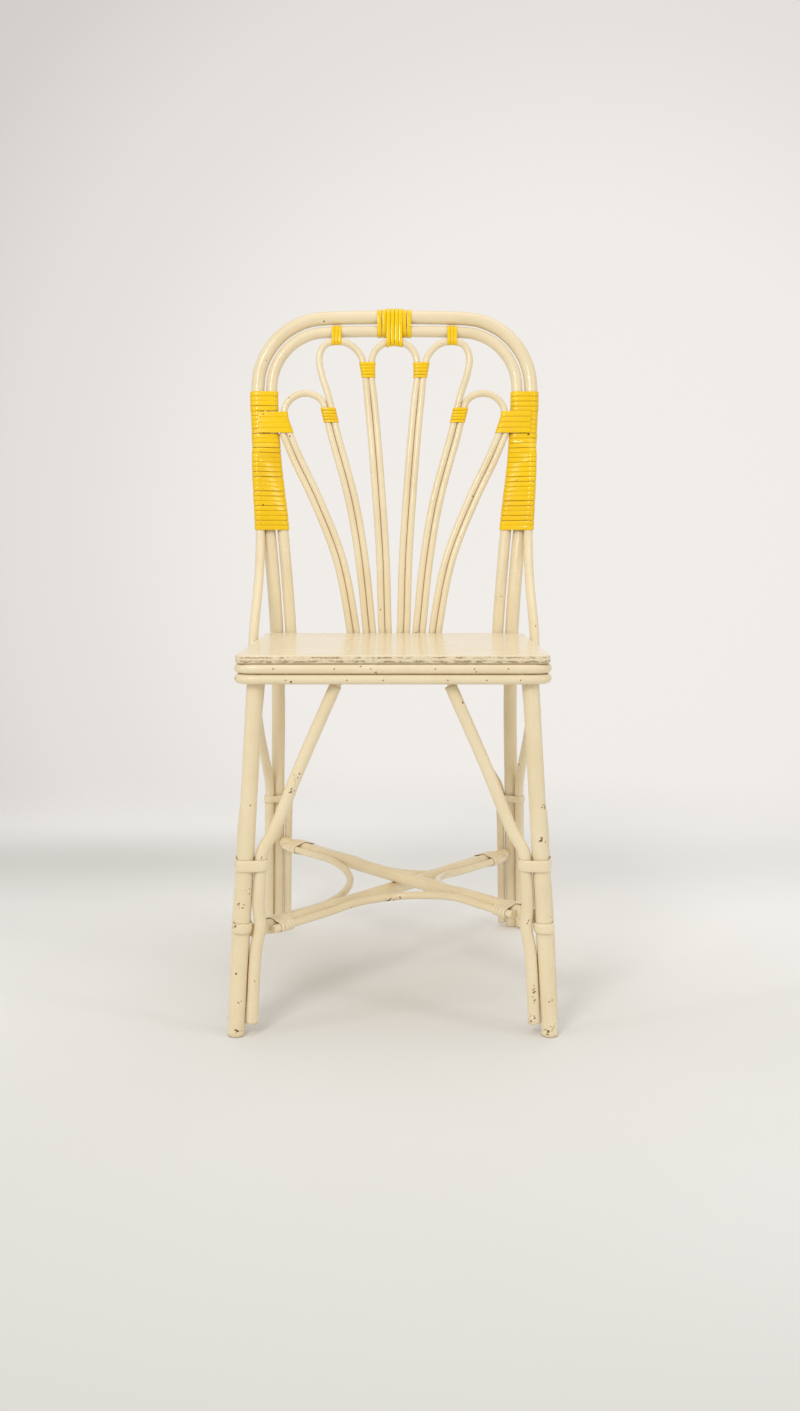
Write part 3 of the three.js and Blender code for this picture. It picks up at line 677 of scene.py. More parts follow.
def wound(name, station, start, end, turns, node, slot, material, lift=GAP, share=0.96, thick=1.2,
          wander=0.14, along=None, seam=None):
    """A strip wound round a bundle: nearly level turns side by side, that step on at the back."""
    per, slope = 44, 0.15
    own = random.Random(name)
    pitch = (end - start) / turns
    upright = station(start)[1].x
    if seam is None:
        seam = math.pi / 2 if upright else 0.0
    along = along or (vec(0, 0, 1) if upright else vec(1, 0, 0))
    sways = [own.uniform(-wander, wander) for _ in range(turns + 1)]
    lifts = [own.uniform(0, 0.15) for _ in range(turns + 1)]
    path = []
    for k in range(turns * per - per // 22):
        here, part = divmod(k / per, 1)
        here = int(here)
        step = ease((part - 0.9) / 0.1) if here < turns - 1 else 0
        at = start + pitch * (here + 0.5 + slope * (part - 0.5) * 0.5 + (1 - slope * 0.5) * step)
        sway = mix(sways[here], sways[here + 1], part) * abs(pitch) * 0.5
        push = lift + mix(lifts[here], lifts[here + 1], part)
        place, outward = outline_point(station, at, seam + math.tau * part, push)
        way = along + outward * slope_of(station, at, outward, abs(pitch) / 2)
        path.append((place + along * sway, outward, way))
    ribbon(name, path, abs(pitch) * share, thick, node, material)


def ring_band(name, station, start, end, node, thick=1.6, crown=0.25):
    """One closed flat band round a bundle, with rounded edges."""
    per = 64
    profile = [(0, 0), (0.02, 0.6), (0.14, 1), (0.5, 1 + crown), (0.86, 1), (0.98, 0.6), (1, 0)]
    vertices, faces, uvs = [], [], []
    rows = len(profile)
    for k in range(per):
        angle = math.tau * k / per
        for share, rise in profile:
            p, _ = outline_point(station, mix(start, end, share), angle, GAP + thick * rise / (1 + crown))
            vertices.append(p)
            uvs.append((k / per * 0.12, share * abs(end - start) / 1000))
    for k in range(per):
        for s in range(rows):
            a = k * rows + s
            b = k * rows + (s + 1) % rows
            c = ((k + 1) % per) * rows + (s + 1) % rows
            d = ((k + 1) % per) * rows + s
            faces.append((a, d, c, b))
    made = mesh_object(name, vertices, faces, uvs)
    finish_piece(made, node, enamel)


# Materials


class Nodes:
    """Short calls for building a material's nodes."""

    def __init__(self, name):
        self.material = bpy.data.materials.new(name)
        self.material.use_nodes = True
        self.tree = self.material.node_tree
        self.tree.nodes.clear()
        self.out = self.tree.nodes.new("ShaderNodeOutputMaterial")

    def make(self, kind, inputs=None, **settings):
        node = self.tree.nodes.new(kind)
        for key, value in settings.items():
            setattr(node, key, value)
        for key, value in (inputs or {}).items():
            if isinstance(value, bpy.types.NodeSocket):
                self.tree.links.new(value, node.inputs[key])
            else:
                node.inputs[key].default_value = value
        return node

    def math(self, operation, a, b=0.0, clamp=False):
        return self.make("ShaderNodeMath", {0: a, 1: b}, operation=operation, use_clamp=clamp).outputs[0]

    def noise(self, vector, scale, detail=3.0, roughness=0.55):
        return self.make("ShaderNodeTexNoise", {
            "Vector": vector, "Scale": scale, "Detail": detail, "Roughness": roughness,
        }).outputs["Fac"]

    def ramp(self, value, low, high, to_low=0.0, to_high=1.0):
        return self.make("ShaderNodeMapRange", {
            "Value": value, "From Min": low, "From Max": high, "To Min": to_low, "To Max": to_high,
        }, clamp=True, interpolation_type="SMOOTHSTEP").outputs["Result"]

    def mix(self, factor, a, b):
        node = self.tree.nodes.new("ShaderNodeMix")
        node.data_type = "RGBA"
        for index, value in ((0, factor), (6, a), (7, b)):
            if isinstance(value, bpy.types.NodeSocket):
                self.tree.links.new(value, node.inputs[index])
            else:
                node.inputs[index].default_value = value
        return node.outputs[2]

    def surface(self, shader):
        self.tree.links.new(shader, self.out.inputs["Surface"])
        return self.material


def linear(red, green, blue):
    """A colour read as sRGB values of 0 to 255."""
    def one(c):
        c /= 255
        return c / 12.92 if c <= 0.04045 else ((c + 0.055) / 1.055) ** 2.4
    return (one(red), one(green), one(blue), 1.0)


CREAM = linear(237, 221, 186)
CREAM_WORN = linear(226, 206, 164)
WOOD_BARE = linear(158, 108, 64)
CHIP_DARK = linear(92, 62, 38)
# Brown for old dirt and painted shade in the creases where pieces meet
GRIME_AND_SHADE = linear(160, 122, 70)
YELLOW = linear(249, 206, 0)
YELLOW_DEEP = linear(240, 188, 0)

# How far out from a chip its wear fades, in the chip's own reaches
WEAR_SPREAD = 2.6
FOOT_WEAR = 0.12
FOOT_WEAR_TOP = 0.006

# Broken lines of bare ply on the board's edge, as (height, half thickness, rarity), in metres
PLY_LINES = ((0.4373, 0.001, 0.47), (0.4327, 0.0017, 0.48))

# Chips that the photograph shows, as (x, y, z, reach) in millimetres
CHIP_PLACES = [
    (-147, 2, 315, 3), (-145, -3, 240, 3), (-150, -6, 207, 3), (-166, -9, 169, 4), (-175, -10, 154, 4),
    (-149, -11, 143, 3), (-182, -12, 131, 4), (-156, -17, 66, 4), (-161, -17, 58, 3), (-176, -18, 42, 3),
    (-163, -20, 20, 3), (172, -1, 268, 5), (169, -4, 228, 4), (163, -17, 56, 5), (163, -18, 45, 5),
    (182, -18, 43, 3), (163, -20, 22, 6), (181, -11, 136, 4), (157, -11, 133, 4), (180, -20, 8, 6),
    (-110, 6, 301, 4), (-113, 6, 293, 4), (-116, 6, 283, 4), (-82, 6, 351, 3), (-180, -20, 8, 5),
    (-132, 300, 138, 5), (-139, 300, 126, 4), (0, 166, 126, 5), (6, 125, 122, 6), (-24, 108, 122, 6),
    (-33, 103, 122, 6), (-5, 128, 122, 6), (-60, 76, 122, 4), (56, 100, 124, 4), (-106, 25, 122, 6),
    (-125, 5, 133, 5), (123, 15, 141, 5), (128, 300, 137, 4), (-82, 35, 126, 3), (-109, 430, 875, 4),
    (-57, 430, 880, 4), (-159, 425, 864, 4), (57, 430, 879, 3), (180, 425, 826, 4), (-37, 400, 726, 4),
    (-183, 385, 532, 4), (147, 385, 488, 5),
]


def chip_mask(nodes, place):
    """Where the paint is gone: small nicks here and there, and broken patches at the places seen."""
    wear = nodes.make("ShaderNodeAttribute", attribute_name="wear").outputs["Fac"]
    ragged = nodes.noise(place, 330.0, 3.0, 0.6)
    patches = nodes.ramp(nodes.math("ADD", ragged, nodes.math("MULTIPLY", wear, 0.34)), 0.8, 0.83)
    wobble = nodes.make("ShaderNodeTexNoise", {"Vector": place, "Scale": 420.0}).outputs["Color"]
    reach = (0.0022, 0.0022, 0.0022)
    spread = nodes.make("ShaderNodeVectorMath", {0: wobble, 1: reach}, operation="MULTIPLY")
    moved = nodes.make("ShaderNodeVectorMath", {0: place, 1: spread.outputs[0]}, operation="ADD").outputs[0]
    cells = nodes.make("ShaderNodeTexVoronoi", {"Vector": moved, "Scale": 62.0}).outputs
    pick = nodes.make("ShaderNodeSeparateXYZ", {"Vector": cells["Color"]}).outputs
    size = nodes.ramp(pick["X"], 0.55, 1.0, 0.0, 0.1)
    nicks = nodes.ramp(nodes.math("SUBTRACT", size, cells["Distance"]), 0.0, 0.012)
    return nodes.math("MAXIMUM", patches, nicks)


def crevice_dirt_and_shade(nodes, reach, strength):
    """Old dirt and painted shade where two pieces meet, from how much of the sky each point sees close by."""
    sky = nodes.make("ShaderNodeAmbientOcclusion", {"Distance": reach}, samples=6).outputs["AO"]
    return nodes.ramp(sky, 0.1, 0.52, strength, 0.0)


def enamel_material(name, base, worn, gloss, seed):
    """Thick brushed enamel, a little dulled and darkened in patches, with old dirt and painted shade in the
    creases, chipped to the wood.
    """
    nodes = Nodes(name)
    place = nodes.make("ShaderNodeTexCoord").outputs["Object"]
    away = (seed, seed * 0.7, seed * 0.3)
    moved = nodes.make("ShaderNodeMapping", {"Vector": place, "Location": away}).outputs[0]
    run = nodes.make("ShaderNodeUVMap", uv_map="run").outputs["UV"]
    streak_at = nodes.make("ShaderNodeMapping", {"Vector": run, "Scale": (6.0, 260.0, 1.0)}).outputs[0]
    streaks = nodes.noise(streak_at, 1.0, 3.0)
    cloud = nodes.noise(moved, 14.0, 4.0)
    fine = nodes.noise(moved, 900.0, 2.0)
    tint = nodes.mix(nodes.ramp(cloud, 0.35, 0.75, 0.0, 0.55), base, worn)
    tint = nodes.mix(nodes.ramp(streaks, 0.5, 0.85, 0.0, 0.22), tint, worn)
    # Old dirt and painted shade: brown mixed in where pieces meet, darker where less sky is seen close by
    dirt_and_shade = crevice_dirt_and_shade(nodes, 0.003, 0.7)
    tint = nodes.mix(dirt_and_shade, tint, GRIME_AND_SHADE)
    chips = chip_mask(nodes, moved)
    bare = nodes.mix(nodes.ramp(nodes.noise(moved, 260.0, 3.0), 0.35, 0.6), WOOD_BARE, CHIP_DARK)
    color = nodes.mix(chips, tint, bare)
    roughness = nodes.ramp(cloud, 0.2, 0.8, gloss, gloss + 0.16)
    roughness = nodes.math("ADD", roughness, nodes.math("MULTIPLY", chips, 0.5), clamp=True)
    relief = nodes.math("ADD", nodes.math("MULTIPLY", streaks, 0.35), nodes.math("MULTIPLY", cloud, 0.5))
    relief = nodes.math("SUBTRACT", relief, nodes.math("MULTIPLY", chips, 0.9))
    relief = nodes.math("ADD", relief, nodes.math("MULTIPLY", fine, 0.04))
    bump = nodes.make("ShaderNodeBump", {"Height": relief, "Strength": 0.35, "Distance": 0.0006})
    paint = nodes.make("ShaderNodeBsdfPrincipled", {
        "Base Color": color, "Roughness": roughness, "Normal": bump.outputs["Normal"],
        "Coat Weight": 0.4, "Coat Roughness": 0.07, "Specular IOR Level": 0.3,
    })
    return nodes.surface(paint.outputs[0])


def board_material():
    """The seat: glossy enamel on top, an edge with the plies showing through in broken lines."""
    nodes = Nodes("seat_enamel")
    place = nodes.make("ShaderNodeTexCoord").outputs["Object"]
    parts = nodes.make("ShaderNodeSeparateXYZ", {"Vector": place}).outputs
    cloud = nodes.noise(place, 9.0, 4.0)
    fine = nodes.noise(place, 700.0, 2.0)
    tint = nodes.mix(nodes.ramp(cloud, 0.3, 0.75, 0.0, 0.3), CREAM, CREAM_WORN)
    # Old dirt and painted shade: brown mixed in where the board meets other pieces
    tint = nodes.mix(crevice_dirt_and_shade(nodes, 0.004, 0.6), tint, GRIME_AND_SHADE)
    stretched = nodes.make("ShaderNodeMapping", {"Vector": place, "Scale": (85.0, 85.0, 420.0)}).outputs[0]
    dashes = nodes.noise(stretched, 1.0, 5.0, 0.65)
    nibble = nodes.noise(place, 380.0, 3.0)
    normal = nodes.make("ShaderNodeNewGeometry").outputs["Normal"]
    up = nodes.make("ShaderNodeSeparateXYZ", {"Vector": normal}).outputs["Z"]
    edge = nodes.ramp(nodes.math("ABSOLUTE", up), 0.35, 0.75, 1.0, 0.0)
    ragged = nodes.math("MULTIPLY", nodes.math("SUBTRACT", nibble, 0.5), 0.0034)
    lines = None
    for height, half, need in PLY_LINES:
        off = nodes.math("ABSOLUTE", nodes.math("SUBTRACT", parts["Z"], height))
        off = nodes.math("SUBTRACT", off, ragged)
        near = nodes.ramp(off, half * 0.6, half, 1.0, 0.0)
        line = nodes.math("MULTIPLY", near, nodes.ramp(dashes, need, need + 0.05))
        lines = line if lines is None else nodes.math("MAXIMUM", lines, line)
    chips = nodes.math("MULTIPLY", lines, edge)
    ply = nodes.mix(nodes.noise(stretched, 2.0, 3.0), WOOD_BARE, CHIP_DARK)
    color = nodes.mix(nodes.math("MULTIPLY", chips, 0.66), tint, ply)
    dull = nodes.math("MULTIPLY", chips, 0.5)
    roughness = nodes.math("ADD", nodes.ramp(cloud, 0.2, 0.8, 0.24, 0.38), dull)
    relief = nodes.math("ADD", nodes.math("MULTIPLY", cloud, 0.2), nodes.math("MULTIPLY", fine, 0.05))
    relief = nodes.math("SUBTRACT", relief, nodes.math("MULTIPLY", chips, 1.2))
    bump = nodes.make("ShaderNodeBump", {"Height": relief, "Strength": 0.4, "Distance": 0.0008})
    paint = nodes.make("ShaderNodeBsdfPrincipled", {
        "Base Color": color, "Roughness": roughness, "Normal": bump.outputs["Normal"],
        "Coat Weight": 0.4, "Coat Roughness": 0.16,
    })
    return nodes.surface(paint.outputs[0])


def nail_material():
    """Small rusted nail heads under thin paint."""
    nodes = Nodes("nail_rust")
    place = nodes.make("ShaderNodeTexCoord").outputs["Object"]
    color = nodes.mix(nodes.noise(place, 900.0, 3.0), linear(196, 170, 126), linear(110, 80, 50))
    finish = {"Base Color": color, "Roughness": 0.55, "Metallic": 0.35}
    metal = nodes.make("ShaderNodeBsdfPrincipled", finish)
    return nodes.surface(metal.outputs[0])


enamel = enamel_material("cream_enamel_paint", CREAM, CREAM_WORN, 0.22, 0.0)
binding_paint = enamel_material("yellow_enamel_paint", YELLOW, YELLOW_DEEP, 0.14, 3.1)
seat_paint = board_material()
rust = nail_material()

# The frame's canes
cane("outer_hoop_cane", outer_hoop, HOOP_DIAMETER, "outer_hoop", sides=24, level_feet=True)
cane("inner_hoop_cane", inner_hoop, INNER_HOOP_DIAMETER, "inner_hoop")
both_sides("side_bow", side_bow, BOW_DIAMETER)
cane("fan_loop_center_cane", center_loop, FAN_DIAMETER, "fan_loop_center", sides=16, fullness=FAN_FULLNESS)
both_sides("fan_loop", side_loop, FAN_DIAMETER, sides=16, fullness=FAN_FULLNESS)
both_sides("fan_far_loop", far_loop, FAN_DIAMETER, sides=16, fullness=FAN_FULLNESS)
both_sides("fan_stay", stay, FAN_DIAMETER, sides=16, fullness=FAN_FULLNESS)
cane("seat_rim_upper_cane", rim_route(RIM_UPPER_Z), RIM_DIAMETER, "seat_rim_upper", closed=True)
cane("seat_rim_lower_cane", rim_route(RIM_LOWER_Z), RIM_DIAMETER, "seat_rim_lower", closed=True)

rail_inset = RIM_INSET + RAIL_DIAMETER / 2
side_rail_x = RIM_HALF_WIDTH - rail_inset
front_rail_y = RIM_FRONT_Y + rail_inset
rail_half = FRONT_LEG_TOP_HALF_WIDTH - LEG_DIAMETER / 2 - 1
side_rail_ends = (FRONT_LEG_TOP_Y + LEG_DIAMETER / 2 + 1, REAR_RAIL_Y - RAIL_DIAMETER / 2 - GAP)
cane("front_rail_cane", [vec(-rail_half, front_rail_y, RAIL_Z), vec(rail_half, front_rail_y, RAIL_Z)],
     RAIL_DIAMETER, "front_rail")
cane("rear_rail_cane", [vec(-side_rail_x, REAR_RAIL_Y, RAIL_Z), vec(side_rail_x, REAR_RAIL_Y, RAIL_Z)],
     RAIL_DIAMETER, "rear_rail")
both_sides("side_rail", [vec(side_rail_x, y, RAIL_Z) for y in side_rail_ends], RAIL_DIAMETER)
both_sides("front_leg", front_leg, LEG_DIAMETER, sides=24, level_feet=True, fullness=LEG_FULLNESS)
both_sides("front_brace", front_brace, FRONT_BRACE_DIAMETER)
both_sides("side_brace", side_brace, BRACE_DIAMETER)
both_sides("rear_brace", rear_brace, BRACE_DIAMETER)
lower_diagonal = diagonal_route("front_left", "rear_right", LOWER_Z)
upper_diagonal = diagonal_route("front_right", "rear_left", UPPER_Z)
cane("stretcher_lower_cane", lower_diagonal, DIAGONAL_DIAMETER, "stretcher_lower")
cane("stretcher_upper_cane", upper_diagonal, DIAGONAL_DIAMETER, "stretcher_upper")
ARCS = {
    "front": ("front_left", LOWER_Z, "front_right", UPPER_Z, 98),
    "rear": ("rear_left", UPPER_Z, "rear_right", LOWER_Z, 60),
    "left": ("front_left", LOWER_Z, "rear_left", UPPER_Z, 130),
    "right": ("front_right", UPPER_Z, "rear_right", LOWER_Z, 130),
}
for arc_name, arc_ends in ARCS.items():
    arc = arc_route(*arc_ends)
    cane(f"stretcher_arc_{arc_name}_cane", arc, ARC_DIAMETER, "stretcher_arc_" + arc_name)


# Windings, bands and ties
def flipped_station(station):
    """The same bundle on the left-hand side."""

    def left(at):
        cores, across, through = station(at)
        return [(vec(-c.x, c.y, c.z), r) for c, r in cores], across, through

    return left


hoops = [
    (outer_hoop, HOOP_TOP_HALF_WIDTH, HOOP_DIAMETER),
    (inner_hoop, HOOP_TOP_HALF_WIDTH, INNER_HOOP_DIAMETER),
]
side_wrap = level_cut(hoops + [(side_bow, HOOP_TOP_HALF_WIDTH, BOW_DIAMETER, BOW_TOP - 4, 32)])
arm_canes = [
    (far_loop, fan_x(0.862), FAN_DIAMETER),
    (stay, fan_x(0.919), FAN_DIAMETER, CROWNS_BOTTOM - 1, 6),
]
ARM_BOTTOM = crown_z(143)
ARM_TOP = crown_z(112)
hoop_wrap = level_cut(hoops[:1])
upper_wrap = level_cut(hoops)
arm_wrap = level_cut([hoops[1]] + arm_canes)


def lapped_arm(z):
    """The arm's bundle, with a place in front of the outer hoop that its strip laps on to."""
    cores, across, through = arm_wrap(z)
    hoop, radius = hoop_wrap(z)[0][0]
    cores.append((hoop + vec(-radius * 0.15, -radius - 1.1, 0), 0.1))
    return cores, across, through


upper_tie = level_cut([(center_loop, fan_x(0.172), FAN_DIAMETER), (side_loop, fan_x(0.23), FAN_DIAMETER)])
lower_tie = level_cut([(side_loop, fan_x(0.505), FAN_DIAMETER), (far_loop, fan_x(0.546), FAN_DIAMETER)])
yellow = ("yellow_enamel", binding_paint)
SIDES = (("right", 1, lambda station: station), ("left", -1, flipped_station))
for side, sign, of_side in SIDES:
    for part, bundle, bottom, top, turns, thick in (
        ("side_wrap_lower", side_wrap, WRAP_BOTTOM, ARM_BOTTOM - GAP, 20, 1.0),
        ("side_wrap_middle", hoop_wrap, ARM_BOTTOM, ARM_TOP, 5, 0.4),
        ("side_wrap_upper", upper_wrap, ARM_TOP + GAP, WRAP_TOP, 4, 1.0),
        ("arm_wrap", lapped_arm, ARM_BOTTOM, ARM_TOP, 4, 0.7),
        ("fan_tie_upper", upper_tie, crown_z(65), crown_z(43), 5, 1.2),
        ("fan_tie_lower", lower_tie, crown_z(128), crown_z(107), 5, 1.2),
    ):
        node = f"{part}_{side}"
        wound(node + "_strip", of_side(bundle), bottom, top, turns, node, *yellow, thick=thick)
    loop_line = side_loop if sign > 0 else mirror(side_loop)
    loop_tie = cross_cut([(inner_hoop, INNER_HOOP_DIAMETER), (loop_line, FAN_DIAMETER)])
    wound(f"loop_tie_{side}_strip", loop_tie, sign * fan_x(0.431), sign * fan_x(0.511), 3,
          f"loop_tie_{side}", *yellow, thick=0.8, wander=0.05)
hoops_at_top = [(outer_hoop, HOOP_DIAMETER), (inner_hoop, INNER_HOOP_DIAMETER)]
wound("center_wrap_strip", cross_cut(hoops_at_top), -CENTER_WRAP_HALF_LENGTH, CENTER_WRAP_HALF_LENGTH, 7,
      "center_wrap", *yellow, share=0.86, thick=0.9)
center_tie = cross_cut(hoops_at_top + [(center_loop, FAN_DIAMETER)])
wound("center_tie_strip", center_tie, -CENTER_TIE_HALF_LENGTH, CENTER_TIE_HALF_LENGTH, 4,
      "center_tie", *yellow, lift=1.7, thick=0.9)

band_cut = level_cut([
    (front_leg, FRONT_FOOT_HALF_WIDTH, LEG_DIAMETER),
    (side_brace, FRONT_FOOT_HALF_WIDTH, BRACE_DIAMETER),
    (front_brace, FRONT_LEG_TOP_HALF_WIDTH, FRONT_BRACE_DIAMETER),
])
ring_cut = level_cut([(front_leg, FRONT_FOOT_HALF_WIDTH, LEG_DIAMETER)])
rear_cut = level_cut([
    (outer_hoop, HOOP_FOOT_HALF_WIDTH, HOOP_DIAMETER),
    (side_bow, HOOP_FOOT_HALF_WIDTH, BOW_DIAMETER),
    (rear_brace, HOOP_WAIST_HALF_WIDTH, BRACE_DIAMETER),
])
for side, _, of_side in SIDES:
    ring_band(f"leg_band_{side}_strip", of_side(band_cut), BOUND_HEIGHT - BAND_HALF_HEIGHT,
              BOUND_HEIGHT + BAND_HALF_HEIGHT, f"leg_band_{side}")
    ring_band(f"leg_ring_{side}_cane", of_side(ring_cut), STRETCHER_HEIGHT - RING_HALF_HEIGHT,
              STRETCHER_HEIGHT + RING_HALF_HEIGHT, f"leg_ring_{side}", thick=RING_THICKNESS, crown=0.5)
    ring_band(f"rear_band_{side}_strip", of_side(rear_cut), BOUND_HEIGHT - 2, BOUND_HEIGHT + 8,
              f"rear_band_{side}")


def tie_station(leg, z):
    """The cut across a diagonal and the arcs beside it, by the distance from a leg."""
    to_cross = (vec(0, CROSS_Y, 0) - leg).normalized()
    across = vec(-to_cross.y, to_cross.x, 0)

    def station(at):
        middle = leg + to_cross * at
        middle.z = z
        cores = [(middle, DIAGONAL_DIAMETER / 2)]
        cores += [(middle + across * (side * ARC_OFFSET), ARC_DIAMETER / 2) for side in (-1, 1)]
        return cores, across, vec(0, 0, 1)

    return station, to_cross


def stretcher_tie(corner, z):
    """Turns of painted strip round a diagonal and the arcs beside it."""
    station, along = tie_station(LEGS[corner], z)
    node = "stretcher_tie_" + corner
    wound(node + "_strip", station, STRETCHER_TIE_NEAR, STRETCHER_TIE_FAR, 4, node,
          "cream_enamel", enamel, along=along, seam=-math.pi / 2)


for corner, tie_z in (("front_left", LOWER_Z), ("front_right", UPPER_Z), ("rear_left", UPPER_Z),
                      ("rear_right", LOWER_Z)):
    stretcher_tie(corner, tie_z)


# Seat board with softened edges
def seat_board():
    r, soft = BOARD_CORNER_RADIUS, BOARD_EDGE_RADIUS
    outline = round_corners(BOARD_WIDTH / 2, 0, BOARD_DEPTH, r)
    rows = [(soft, BOARD_BOTTOM), (0, BOARD_BOTTOM + soft * 0.6), (0, SEAT_HEIGHT - soft)]
    for i in range(1, 5):
        angle = math.pi / 8 * i
        rows.append((soft - soft * math.cos(angle), SEAT_HEIGHT - soft + soft * math.sin(angle)))
    vertices = []
    for inset, z in rows:
        for x, y, out_x, out_y in outline:
            vertices.append(vec(x + out_x * (r - inset), y + out_y * (r - inset), z))
    count = len(outline)
    rings = [range(k * count, (k + 1) * count) for k in range(len(rows))]
    faces = lofted(rings) + [tuple(reversed(rings[0])), tuple(rings[-1])]
    made = mesh_object("seat_board_ply", vertices, faces)
    finish_piece(made, "seat_board", seat_paint)
    for flat in (len(faces) - 1, len(faces) - 2):
        made.data.polygons[flat].use_smooth = False


seat_board()


# Nail heads where the canes are nailed
def nails():
    places = []
    for x in (-135, -66, -25, 48, 92, 130):
        places.append((vec(x, RIM_FRONT_Y, RIM_UPPER_Z), vec(0, -1, 0.1), RIM_DIAMETER))
        places.append((vec(x + 14, RIM_FRONT_Y, RIM_LOWER_Z), vec(0, -1, -0.1), RIM_DIAMETER))
    for y in (60, 190, 320):
        for sign in (-1, 1):
            places.append((vec(sign * RIM_HALF_WIDTH, y, RIM_UPPER_Z), vec(sign, 0, 0.1), RIM_DIAMETER))
            places.append((vec(sign * RIM_HALF_WIDTH, y + 16, RIM_LOWER_Z), vec(sign, 0, -0.1), RIM_DIAMETER))
    places.append((vec(2, CROSS_Y - 3, UPPER_Z), vec(0, -0.5, 1), DIAGONAL_DIAMETER))
    vertices, faces = [], []
    for center, way, diameter in places:
        way = way.normalized()
        seat = center + way * (diameter / 2 * FULLNESS - 0.1)
        side = way.orthogonal().normalized()
        over = way.cross(side)
        rings = []
        for radius, rise in NAIL_RINGS:
            rings.append(range(len(vertices), len(vertices) + 10))
            for k in range(10):
                angle = math.tau * k / 10
                vertices.append(seat + side * (math.cos(angle) * radius) + over * (math.sin(angle) * radius)
                                + way * rise)
        faces += lofted(rings) + [tuple(rings[-1]), tuple(reversed(rings[0]))]
    made = mesh_object("nail_heads", vertices, faces)
    finish_piece(made, None, rust)


nails()


def mark_wear():
    """How worn each vertex is, from the chips that the photograph shows and from the feet."""
    spots = [(Vector(in_frame((x, y, z))), reach * WEAR_SPREAD / 1000) for x, y, z, reach in CHIP_PLACES]
    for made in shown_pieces():
        mesh = made.data
        if not mesh.materials or mesh.materials[0] not in (enamel, binding_paint):
            continue
        values = []
        for v in mesh.vertices:
            worn = FOOT_WEAR if v.co.z < FOOT_WEAR_TOP else 0.0
            for spot, reach in spots:
                far = (v.co - spot).length
                if far < reach:
                    worn = max(worn, 1 - far / reach)
            values.append(worn)
        layer = mesh.attributes.new("wear", "FLOAT", "POINT")
        layer.data.foreach_set("value", values)


mark_wear()


# Floor, light, background and camera
def backdrop(tree, socket):
    """A pale paper with painted light and shade, brightest behind the chair and darker away from it, in a
    studio that is darker behind the camera.
    """
    way = tree.nodes.new("ShaderNodeTexCoord").outputs["Generated"]
    toward = tree.nodes.new("ShaderNodeVectorMath")
    toward.operation = "DOT_PRODUCT"
    toward.inputs[1].default_value = Vector((0.12, 1.0, 0.0)).normalized()
    tree.links.new(way, toward.inputs[0])
    ramp = tree.nodes.new("ShaderNodeValToRGB")
    stops = ramp.color_ramp.elements
    stops[0].position, stops[0].color = math.cos(math.radians(85)), linear(170, 168, 164)
    stops[1].position, stops[1].color = math.cos(math.radians(7)), linear(241, 237, 233)
    for degrees, tone in ((40, 198), (33, 206), (28, 213), (23, 226), (20, 229), (13, 240)):
        stop = stops.new(math.cos(math.radians(degrees)))
        stop.color = linear(tone, tone - 4, tone - 8)
    tree.links.new(toward.outputs["Value"], ramp.inputs[0])
    tree.links.new(ramp.outputs["Color"], socket)


def studio_floor():
    """A pale floor with painted light and shade: darker towards the front left, lighter behind the chair, and
    a soft painted shadow band behind the chair, strongest on the left; it fades out into the background.
    """
    reach = 9.0
    mesh = bpy.data.meshes.new("floor")
    corners = [(-reach, -reach, 0), (reach, -reach, 0), (reach, reach, 0), (-reach, reach, 0)]
    mesh.from_pydata(corners, [], [(0, 1, 2, 3)])
    floor = bpy.data.objects.new("floor", mesh)
    bpy.context.scene.collection.objects.link(floor)
    nodes = Nodes("studio_floor")
    place = nodes.make("ShaderNodeTexCoord").outputs["Object"]
    away = nodes.make("ShaderNodeVectorMath", {0: place}, operation="LENGTH").outputs["Value"]
    cloud = nodes.noise(place, 1.3, 3.0)
    color = nodes.mix(nodes.ramp(cloud, 0.3, 0.7), linear(233, 232, 230), linear(229, 228, 225))
    toward = nodes.make("ShaderNodeVectorMath", {0: place, 1: (-0.45, -1.0, 0.0)}, operation="DOT_PRODUCT")
    forward = toward.outputs["Value"]
    # Painted shade: the floor darkens towards the front left; painted light: it lightens behind the chair
    color = nodes.mix(nodes.ramp(forward, 0.2, 1.1), color, linear(213, 212, 208))
    color = nodes.mix(nodes.ramp(forward, 0.1, -0.6), color, linear(246, 245, 243))
    parts = nodes.make("ShaderNodeSeparateXYZ", {"Vector": place}).outputs
    # A soft painted shadow band behind the chair, darker on the left
    shadow_band_y = 0.62
    shadow_band_reach = 0.36
    off = nodes.math("ABSOLUTE", nodes.math("SUBTRACT", parts["Y"], shadow_band_y))
    shadow_band = nodes.ramp(off, shadow_band_reach, 0.0)
    shade = nodes.math("MULTIPLY", shadow_band, nodes.ramp(parts["X"], 0.2, -0.55, 0.22, 0.75))
    color = nodes.mix(shade, color, linear(206, 205, 200))
    paper = nodes.make("ShaderNodeBsdfPrincipled", {
        "Base Color": color, "Roughness": 0.75, "Specular IOR Level": 0.2,
    })
    clear = nodes.make("ShaderNodeBsdfTransparent")
    fade = nodes.ramp(away, 0.75, 1.7)
    both = nodes.make("ShaderNodeMixShader", {0: fade, 1: paper.outputs[0], 2: clear.outputs[0]})
    mesh.materials.append(nodes.surface(both.outputs[0]))


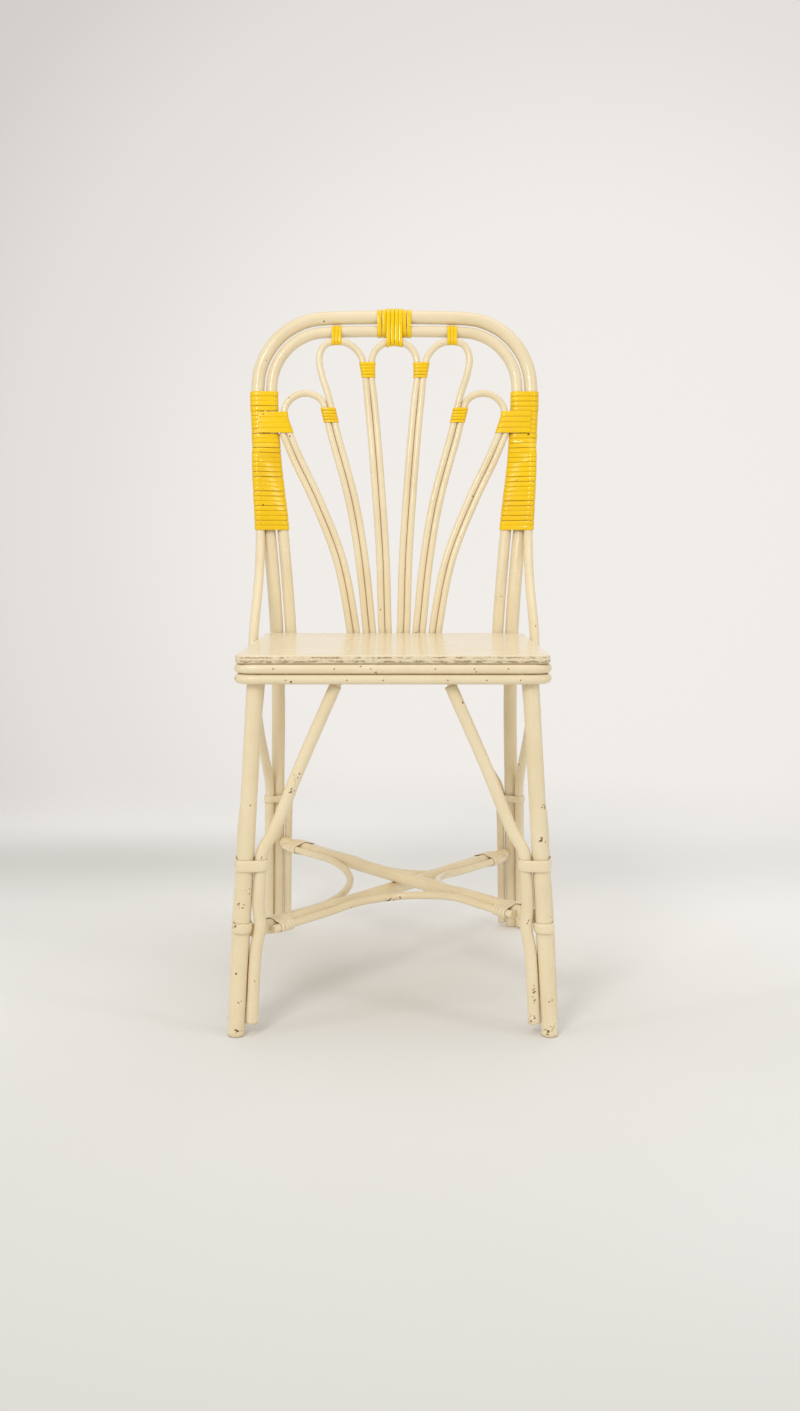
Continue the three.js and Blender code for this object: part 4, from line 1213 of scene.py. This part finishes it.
def studio_world():
    """An even fill, with the backdrop for the camera and for reflections."""
    world = bpy.data.worlds.new("studio")
    bpy.context.scene.world = world
    world.use_nodes = True
    tree = world.node_tree
    tree.nodes.clear()
    out = tree.nodes.new("ShaderNodeOutputWorld")
    choose = tree.nodes.new("ShaderNodeMixShader")
    seen = tree.nodes.new("ShaderNodeBackground")
    backdrop(tree, seen.inputs["Color"])
    fill = tree.nodes.new("ShaderNodeBackground")
    fill.inputs["Color"].default_value = (1.0, 0.99, 0.975, 1)
    fill.inputs["Strength"].default_value = 0.7
    path = tree.nodes.new("ShaderNodeLightPath")
    shown = tree.nodes.new("ShaderNodeMath")
    shown.operation = "MAXIMUM"
    tree.links.new(path.outputs["Is Camera Ray"], shown.inputs[0])
    tree.links.new(path.outputs["Is Glossy Ray"], shown.inputs[1])
    tree.links.new(shown.outputs[0], choose.inputs[0])
    tree.links.new(fill.outputs[0], choose.inputs[1])
    tree.links.new(seen.outputs[0], choose.inputs[2])
    tree.links.new(choose.outputs[0], out.inputs["Surface"])


def lamps():
    for name, place, aim, wide, tall, power in (
        ("key", (-0.9, -2.3, 2.0), (0, 0, 0.5), 0.7, 0.7, 22),
        ("top", (0.3, 0.1, 2.9), (0, 0, 0.4), 2.2, 2.2, 14),
        ("strip_left", (-1.9, -1.0, 1.1), (0, 0, 0.6), 0.16, 1.5, 4),
        ("strip_right", (1.9, -1.2, 1.1), (0, 0, 0.6), 0.16, 1.5, 5),
    ):
        lamp = bpy.data.lights.new(name, "AREA")
        lamp.shape = "RECTANGLE"
        lamp.size = wide
        lamp.size_y = tall
        lamp.energy = power
        lamp.color = (1.0, 0.985, 0.96)
        holder = bpy.data.objects.new(name, lamp)
        holder.location = place
        holder.rotation_euler = (Vector(aim) - Vector(place)).to_track_quat("-Z", "Y").to_euler()
        bpy.context.scene.collection.objects.link(holder)


def camera():
    """The photograph's camera: in front, a little above the seat, tilted down."""
    focal_px = 1341
    height_px = 1411
    place = (8, -1507, 569)
    tilt_degrees = 7.03
    data = bpy.data.cameras.new("camera")
    data.sensor_fit = "VERTICAL"
    data.sensor_height = 36.0
    data.sensor_width = 36.0
    data.lens = focal_px * 36.0 / height_px
    data.clip_start = 0.05
    data.clip_end = 60
    made = bpy.data.objects.new("camera", data)
    made.location = in_frame(place)
    made.rotation_euler = (math.radians(90 - tilt_degrees), 0, 0)
    bpy.context.scene.collection.objects.link(made)
    bpy.context.scene.camera = made


studio_floor()
studio_world()
lamps()
camera()
scene = bpy.context.scene
scene.view_settings.view_transform = "Standard"
